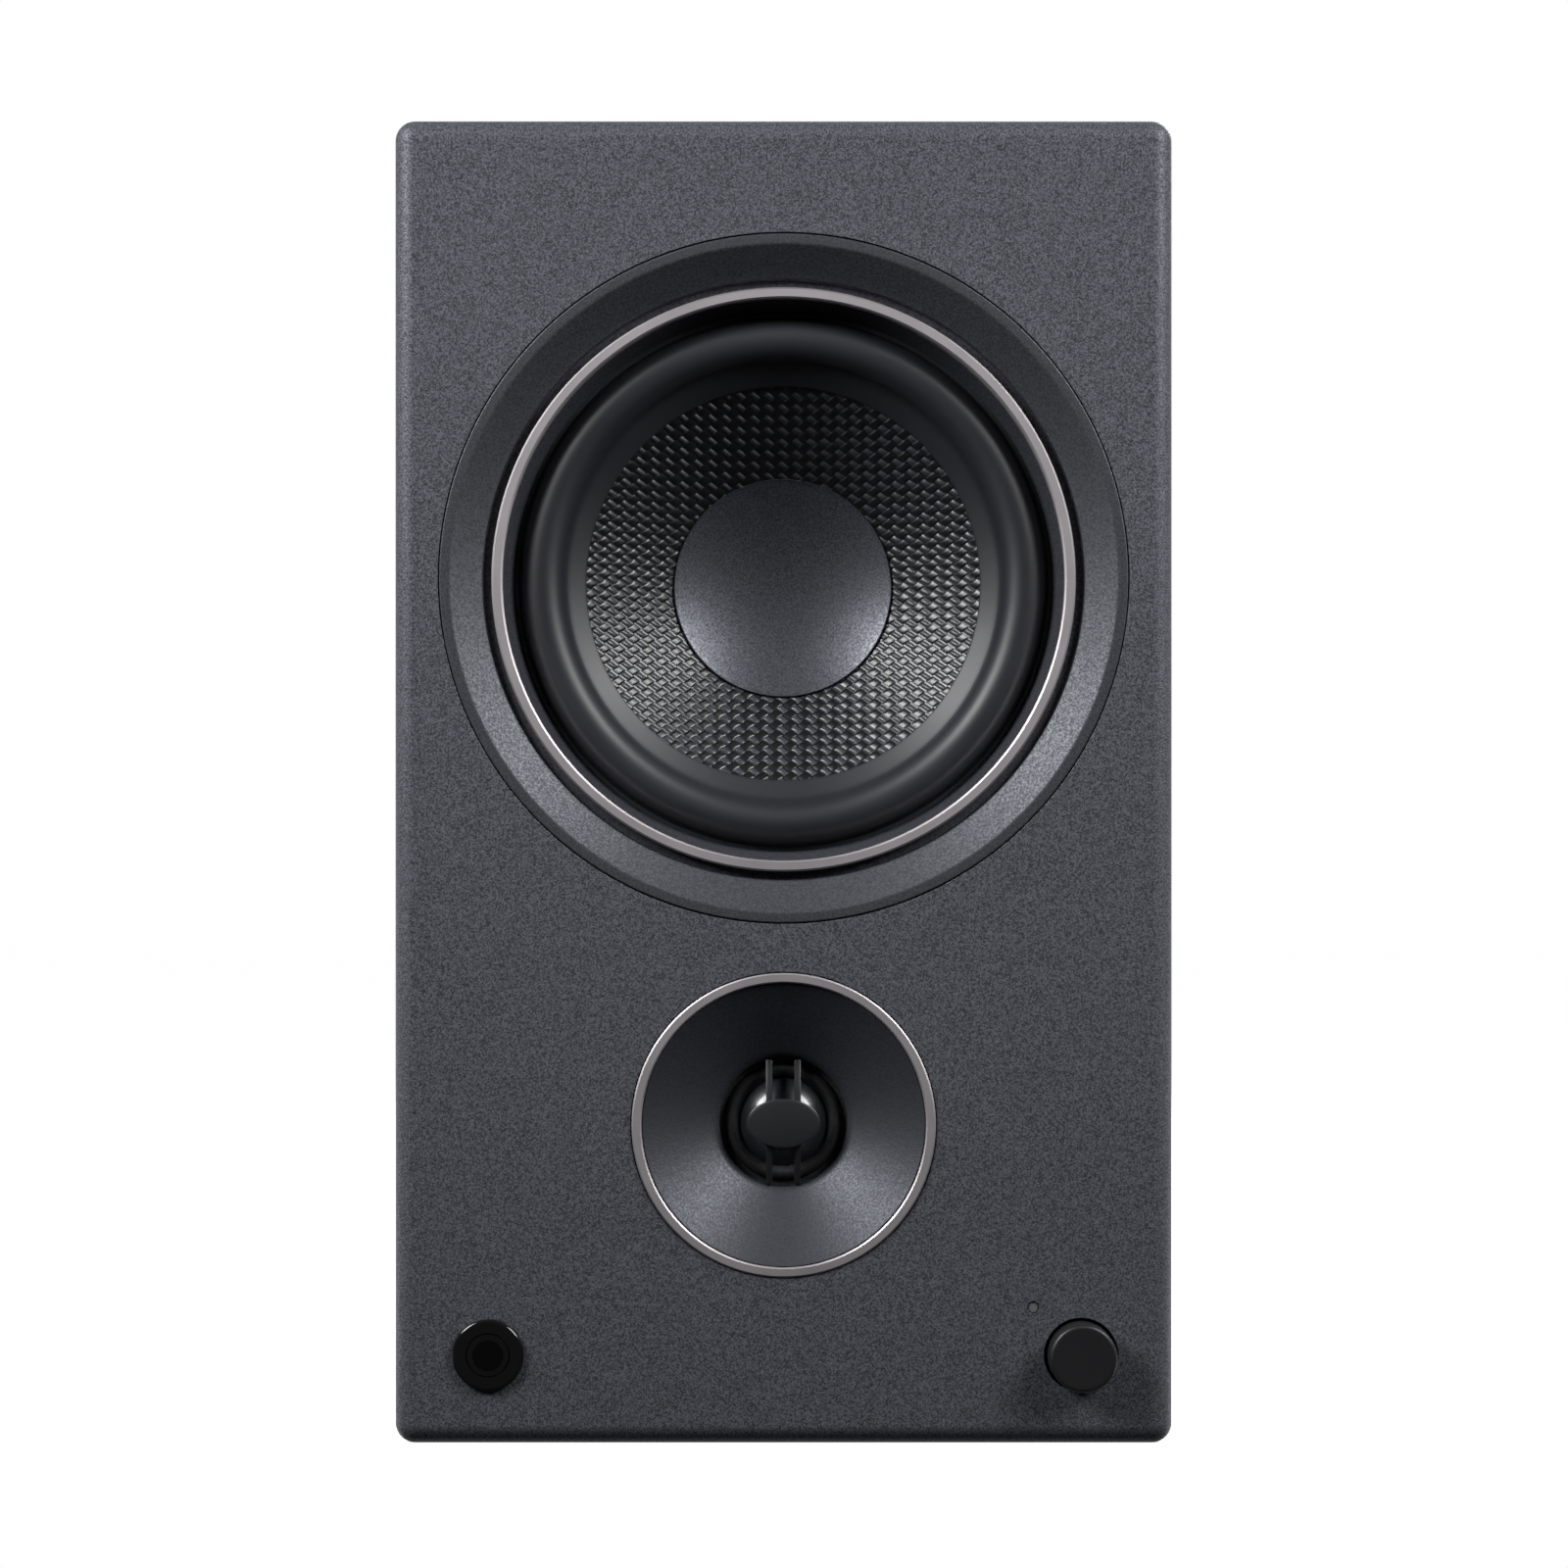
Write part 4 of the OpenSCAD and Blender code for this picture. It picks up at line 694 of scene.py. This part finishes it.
tweeter_roll_out = throat - 1 * mm
small_roll = (tweeter_roll_out - dome_radius) / 2
roll_depth = dome_rim
roll = turned("roll", tweeter.x, tweeter.z, [
    (tweeter_roll_out + 2.3 * mm, roll_depth + 0.15 * mm),
    (tweeter_roll_out + 2.3 * mm, roll_depth - 0.15 * mm),
    *arc((dome_radius + small_roll, roll_depth), small_roll, -4, -176, 16),
    (dome_radius + 0.02 * mm, roll_depth + 0.15 * mm), (tweeter_roll_out, roll_depth + 0.15 * mm),
    (tweeter_roll_out + 2.3 * mm, roll_depth + 0.15 * mm)], 96)
cloth = Finish("roll_cloth", (0.02, 0.02, 0.021), Roughness=0.55)
threads = cloth.noise(0.55 * mm, detail=3.0)
cloth.feed("Base Color", cloth.mix(threads, (0.002, 0.002, 0.0025), (0.016, 0.0165, 0.019)))
cloth.feed("Roughness", 0.4 + 0.3 * threads)
cloth.feed("Normal", cloth.bump(threads, 0.12 * mm, 0.9))
finish_piece(roll, "tweeter_cloth_roll", cloth.material, None, ["tweeter_surround"], 50)
follow_by_reach(roll, "tweeter_dome",
                lambda co: (tweeter_roll_out - math.hypot(co.x - tweeter.x, co.z - tweeter.z))
                / (1.6 * small_roll),
                (tweeter.x + tweeter_roll_out, front + roll_depth, tweeter.z),
                (tweeter.x + dome_radius, front + roll_depth, tweeter.z))
for node, material in {
        "tweeter_voice_coil": copper, "tweeter_top_plate": zinc, "tweeter_magnet": ferrite,
        "tweeter_pole_plate": zinc, "tweeter_rear_cup": powder_black}.items():
    coat_node(node, material)

# ------------------------------------------------------------------ tweeter bridge
# Two flat bars and a plain oval plate, pressed from one steel sheet and bowed over the dome. The
# bars' feet are let into the throat, and the oval keeps fingers off the dome.
bridge_low, bridge_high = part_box("tweeter_bridge")
reach = (bridge_high.z - bridge_low.z) / 2
bridge_front = bridge_low.y
bow_rise = 3.5 * mm
bow = (reach ** 2 + bow_rise ** 2) / (2 * bow_rise)
sheet = 1.3 * mm


def bowed(piece):
    """Bends a flat front-facing sheet to the bow, by moving each point back."""
    mesh = bmesh.new()
    mesh.from_mesh(piece.data)
    for vertex in mesh.verts:
        out = min(math.hypot(vertex.co.x - tweeter.x, vertex.co.z - tweeter.z), reach)
        vertex.co.y += bow - math.sqrt(bow ** 2 - out ** 2)
    mesh.to_mesh(piece.data)
    mesh.free()


def bridge_sheet(size_x, size_z, at_x, cuts):
    """A flat sheet of the bridge, cut finely along its length so that it can be bowed."""
    bpy.ops.object.select_all(action="DESELECT")
    bpy.ops.mesh.primitive_grid_add(
        x_subdivisions=cuts[0], y_subdivisions=cuts[1], size=1,
        location=(at_x, bridge_front, tweeter.z), rotation=(math.radians(90), 0, 0))
    bpy.context.object.scale = (size_x, size_z, 1)
    bpy.ops.object.transform_apply(location=True, rotation=True, scale=True)
    return bpy.context.object


bars = []
for side in (-1, 1):
    bar = bridge_sheet(1.35 * mm, 2 * reach - 0.1 * mm, tweeter.x + side * 3.18 * mm, (2, 32))
    bars.append(bar)
bpy.ops.object.select_all(action="DESELECT")
oval_wide, oval_high = 15.7 * mm, 10.45 * mm
oval = turned("oval", tweeter.x, tweeter.z, [(0.5 * (1 - i / 8), bridge_front - front) for i in range(9)], 96)
oval.scale = (oval_wide, oval_high, 1)
bpy.ops.object.transform_apply(location=True, rotation=True, scale=True)
for flat in bars + [oval]:
    bowed(flat)
    solid = flat.modifiers.new("sheet", "SOLIDIFY")
    solid.thickness = sheet
    solid.offset = -1
    add_bevel(flat, 0.16 * mm, 2, 40)
    apply_all(flat)
select_only(oval)
for bar in bars:
    bar.select_set(True)
bpy.ops.object.join()
dark_steel = worn("bridge_paint", (0.030, 0.031, 0.034), (0.050, 0.052, 0.057), 0.36, 0.3 * mm,
                  0.008 * mm, 0.6)
finish_piece(oval, "tweeter_guard", dark_steel, "cabinet", ["tweeter_bridge"], 35)

# ------------------------------------------------------------------ remote window
# A gloss black moulded window that lets the remote's infrared through. The round rim stands proud,
# with a shallow step and the receiver's dark disc behind the middle.
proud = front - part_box("ir_lens")[0].y
lens = turned("lens", lens_at.x, lens_at.z, [
    (lens_radius - 0.65 * mm, 6 * mm), (lens_radius - 0.65 * mm, 0.02 * mm), (lens_radius, 0),
    (lens_radius, -0.5 * mm),
    *arc((lens_radius - 0.8 * mm, -proud + 0.8 * mm), 0.8 * mm, 0, -90, 8)[1:],
    (5.0 * mm, -proud), (4.9 * mm, -proud + 0.05 * mm), (4.85 * mm, -proud + 0.3 * mm),
    (4.6 * mm, -proud + 0.3 * mm), (4.55 * mm, -proud + 0.05 * mm), (4.45 * mm, -proud), (0, -proud)], 128)
gloss = Finish("window_gloss", Roughness=0.12, Specular_IOR_Level=0.5)
sides = gloss.node("SeparateXYZ", Vector=gloss.place())
out_x = sides - lens_at.x
out_z = Wire(gloss.tree, sides.socket.node.outputs[2]) - lens_at.z
out = (out_x * out_x + out_z * out_z) ** 0.5
core = out < 3.4 * mm
smear = gloss.noise(5 * mm, detail=3.0)
gloss.feed("Base Color", gloss.mix(core, (0.006, 0.0055, 0.006), (0.002, 0.002, 0.002)))
gloss.feed("Roughness", 0.05 + 0.07 * smear)
finish_piece(lens, "remote_window", gloss.material, "cabinet", ["ir_lens"], 50)

# ------------------------------------------------------------------ status light
# A frosted light pipe of 2.4 mm that ends flush in the baffle, unlit.
pipe = turned("pipe", light_at.x, light_at.z, [
    (1.2 * mm, 20 * mm), (1.2 * mm, 0.5 * mm), (1.08 * mm, 0.34 * mm), (0.7 * mm, 0.3 * mm),
    (0, 0.3 * mm)], 48)
frosted = worn("frosted_pipe", (0.085, 0.085, 0.09), (0.13, 0.13, 0.135), 0.35, 0.3 * mm, 0.01 * mm)
finish_piece(pipe, "status_light", frosted, "cabinet", ["led_light_pipe"], 40)

# ------------------------------------------------------------------ volume knob
# A turned knob in satin black with a fine textured skin and a rolled edge. It turns without end and
# presses in, and it is pushed on to the encoder's shaft.
knob_low, knob_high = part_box("volume_knob")
knob_face = knob_low.y - front
knob_back = knob_high.y - front
edge = 0.85 * mm
knob = turned("knob", knob_at.x, knob_at.z, [
    (knob_radius - 1.4 * mm, knob_back), (knob_radius - 0.2 * mm, knob_back),
    (knob_radius, knob_back - 0.2 * mm),
    *arc((knob_radius - edge, knob_face + edge), edge, 0, -90, 10),
    (knob_radius - 1.6 * mm, knob_face + 0.02 * mm), (3 * mm, knob_face + 0.05 * mm),
    (0, knob_face + 0.05 * mm)], 128)
knob_skin = worn("knob_skin", (0.005, 0.005, 0.006), (0.010, 0.010, 0.0115), 0.45, 0.3 * mm, 0.015 * mm)
finish_piece(knob, "volume_dial", knob_skin, "volume_knob", ["volume_knob"], 40)
board_green = worn("solder_mask", (0.010, 0.075, 0.030), (0.016, 0.11, 0.045), 0.4, 0.5 * mm, 0.01 * mm)
for node, material in {
        "encoder_shaft": zinc, "encoder_body": zinc, "encoder_plunger": treated_cloth,
        "control_boards": board_green, "ir_receiver": powder_black}.items():
    coat_node(node, material)

# ------------------------------------------------------------------ cabinet sleeve
# Four mitred fibreboard panels wrapped in a black textured vinyl that runs on round the corners. The
# rear board is let in flush, and a brace with two windows ties the sides inside.


def tidy_copy(node, width, segments=2, angle=35, dissolve=True):
    """A copy of a design node's mesh with its triangles merged into faces and its edges rounded."""
    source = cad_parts[node]
    piece = bpy.data.objects.new(node + "_finished", source.data.copy())
    bpy.context.scene.collection.objects.link(piece)
    select_only(piece)
    bpy.ops.object.mode_set(mode="EDIT")
    bpy.ops.mesh.select_all(action="SELECT")
    bpy.ops.mesh.remove_doubles(threshold=0.001 * mm)
    if dissolve:
        bpy.ops.mesh.dissolve_limited(angle_limit=math.radians(1))
    bpy.ops.object.mode_set(mode="OBJECT")
    if width:
        add_bevel(piece, width, segments, angle)
        apply_all(piece)
    return piece


vinyl = Finish("vinyl_wrap", Roughness=0.6, Specular_IOR_Level=0.25)
pores = vinyl.noise(1.3 * mm, detail=3.0, roughness=0.6)
fine_place = vinyl.node("Mapping", Vector=vinyl.place(), Scale=(600, 600, 600))
cells = vinyl.node("TexVoronoi", Vector=fine_place, Scale=1.0)
patch = vinyl.noise(60 * mm, detail=3.0)
vinyl_shade = vinyl.mix(pores * 0.7 + patch * 0.3, (0.009, 0.0095, 0.0110), (0.023, 0.0242, 0.0275))
vinyl.feed("Base Color", vinyl_shade)
vinyl.feed("Roughness", 0.54 + 0.14 * pores + 0.06 * (patch - 0.5))
vinyl.feed("Normal", vinyl.bump(pores + 0.7 * cells, 0.3 * mm, 1.0))
for node, width in {
        "side_panels": 0.06 * mm, "top_and_bottom_panels": 0.06 * mm, "rear_panel": 0.4 * mm}.items():
    finish_piece(tidy_copy(node, width), node.replace("panel", "board"), vinyl.material,
                 "cabinet", [node], 25)
fibreboard = worn("fibreboard", (0.20, 0.135, 0.075), (0.31, 0.215, 0.13), 0.85, 0.9 * mm, 0.08 * mm)
fibre = worn("wadding_fibre", (0.50, 0.50, 0.48), (0.78, 0.78, 0.75), 0.95, 1.6 * mm, 0.7 * mm)
coat_node("window_brace", fibreboard)
coat_node("damping_wadding", fibre)

# ------------------------------------------------------------------ reflex port
# A moulded tube in satin black, glued into the rear board, with a flared mouth at each end.
port_at = middle_of("port_tube")
port_low, port_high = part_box("port_tube")
port_skin = worn("port_skin", (0.008, 0.008, 0.009), (0.015, 0.015, 0.016), 0.45, 0.5 * mm, 0.02 * mm)
flange = radius_of("port_tube")
bore = 20 * mm
curl = 8 * mm
wall = 2.5 * mm
mouth = port_high.y - front
inner_end = port_low.y - front
port = turned("port", port_at.x, port_at.z, [
    (flange, mouth - 2 * mm), (flange, mouth - 0.8 * mm),
    *arc((flange - 0.8 * mm, mouth - 0.8 * mm), 0.8 * mm, 0, 90, 4)[1:],
    *arc((bore + curl, mouth - curl), curl, 90, 180, 16),
    *arc((bore + curl, inner_end + curl), curl, 180, 270, 16),
    *arc((bore + curl, inner_end + curl), curl - wall, 270, 180, 12),
    *arc((bore + curl, mouth - curl), curl - wall, 180, 96, 12),
    (flange, mouth - 2 * mm)], 128)
finish_piece(port, "reflex_port", port_skin, "cabinet", ["port_tube"], 35)

# ------------------------------------------------------------------ amplifier plate
# A steel plate in textured black powder coat, screwed over the opening in the rear board, with the
# amplifier board, its heat sink and its supply parts standing on its inner side.
plate_paint = worn("plate_powder", (0.010, 0.010, 0.011), (0.020, 0.020, 0.022), 0.6, 0.35 * mm, 0.05 * mm)
finish_piece(tidy_copy("amplifier_plate", 0.3 * mm), "rear_plate", plate_paint, "cabinet",
             ["amplifier_plate"], 30)
black_oxide = worn("black_oxide", (0.03, 0.03, 0.032), (0.055, 0.055, 0.058), 0.38, 0.4 * mm, 0.01 * mm, 0.8)
finish_piece(tidy_copy("amplifier_plate_screws", 0.12 * mm), "plate_screws", black_oxide,
             "cabinet", ["amplifier_plate_screws"], 30)
extruded = worn("extruded_fins", (0.45, 0.45, 0.46), (0.6, 0.6, 0.61), 0.4, 0.5 * mm, 0.01 * mm, 1.0)
parts_black = worn("supply_parts", (0.02, 0.022, 0.028), (0.035, 0.037, 0.045), 0.4, 0.5 * mm, 0.01 * mm)
for node, material in {"amplifier_board": board_green, "heat_sink": extruded,
                       "power_supply_parts": parts_black}.items():
    coat_node(node, material)

# ------------------------------------------------------------------ phono jacks
# Three nickel-plated shells with coloured inserts, held by their nuts.
nickel = worn("nickel", (0.55, 0.54, 0.52), (0.70, 0.69, 0.66), 0.2, 0.6 * mm, 0.004 * mm, 1.0)
gold = worn("gold_plate", (0.72, 0.50, 0.19), (0.86, 0.64, 0.30), 0.22, 0.6 * mm, 0.004 * mm, 1.0)
shells = tidy_copy("rca_shells", 0.12 * mm)
finish_piece(shells, "phono_shells", nickel, "cabinet", ["rca_shells"], 30)
insert = Finish("jack_inserts", Roughness=0.35)
sides = insert.node("SeparateXYZ", Vector=insert.place())
drift = insert.noise(1.5 * mm, detail=2.0)
jack_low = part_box("rca_shells")[0]
red_here = sides.maths("COMPARE", sides, jack_low.x + 5.35 * mm + 16 * mm, 6 * mm)
white_here = sides.maths("COMPARE", sides, jack_low.x + 5.35 * mm, 6 * mm)
shade = insert.mix(red_here, (0.02, 0.02, 0.022), (0.42, 0.015, 0.015))
shade = insert.mix(white_here, shade, insert.mix(drift, (0.62, 0.62, 0.60), (0.72, 0.72, 0.70)))
insert.feed("Base Color", shade)
insert.feed("Roughness", 0.3 + 0.12 * drift)
inserts = tidy_copy("rca_insulators", 0.1 * mm)
finish_piece(inserts, "phono_inserts", insert.material, "cabinet", ["rca_insulators"], 30)

# ------------------------------------------------------------------ binding posts
# Gold-plated posts through moulded bases, with fluted screw-down caps in clear-coated red and black
# over plated washers. Each post takes a plug in its end.
moulded_black = worn("moulded_black", (0.012, 0.012, 0.013), (0.022, 0.022, 0.023), 0.35, 0.5 * mm, 0.01 * mm)
red_cap_skin = worn("red_cap_skin", (0.24, 0.008, 0.008), (0.36, 0.016, 0.014), 0.25, 0.5 * mm, 0.008 * mm)
for node, name, material, slot, body in [
        ("binding_post_shafts", "post_shafts", gold, "gold", "cabinet"),
        ("binding_post_bases", "post_bases", moulded_black, "black_plastic", "cabinet"),
        ("red_post_washer", "red_washer", gold, "gold", "red_post_washer"),
        ("black_post_washer", "black_washer", gold, "gold", "black_post_washer"),
        ("red_post_cap", "red_cap", red_cap_skin, "red_plastic", "red_post_cap"),
        ("black_post_cap", "black_cap", moulded_black, "black_plastic", "black_post_cap")]:
    finish_piece(tidy_copy(node, 0.12 * mm), name, material, body, [node], 30)

# ------------------------------------------------------------------ mains inlet and power switch
# Moulded black housings that snap into the plate. The inlet's well holds two plated pins, and the
# rocker pivots across the switch.
for node, name, material, slot, body in [
        ("mains_inlet", "inlet_housing", moulded_black, "black_plastic", "cabinet"),
        ("mains_inlet_pins", "inlet_pins", nickel, "nickel", "cabinet"),
        ("power_switch_body", "switch_housing", moulded_black, "black_plastic", "cabinet"),
        ("power_rocker", "rocker", knob_skin, "black_plastic", "power_rocker")]:
    rounding = 0.3 * mm if node == "mains_inlet_pins" else 0.25 * mm
    finish_piece(tidy_copy(node, rounding), name, material, body, [node], 30)

# ------------------------------------------------------------------ internal wiring
# Twin leads from the amplifier board to each driver, and a grey cable to each control board. Two
# braided leads bend between the woofer's tags and its cone.
jacket = worn("wire_jacket", (0.13, 0.012, 0.010), (0.20, 0.022, 0.018), 0.45, 0.6 * mm, 0.01 * mm)
grey_jacket = worn("cable_jacket", (0.08, 0.08, 0.085), (0.13, 0.13, 0.135), 0.5, 0.6 * mm, 0.01 * mm)
coat_node("driver_wires", jacket)
coat_node("control_cables", grey_jacket)
lead_low, lead_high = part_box("woofer_tinsel_leads")
leads = tidy_copy("woofer_tinsel_leads", 0, dissolve=False)
leads = finish_piece(leads, "tinsel_leads", braid, None, ["woofer_tinsel_leads"], 60)
follow_by_reach(leads, "woofer_cone", lambda co: (lead_high.y - co.y) / (0.8 * (lead_high.y - lead_low.y)),
                (woofer.x, lead_high.y, lead_high.z), (woofer.x, lead_low.y, lead_high.z))
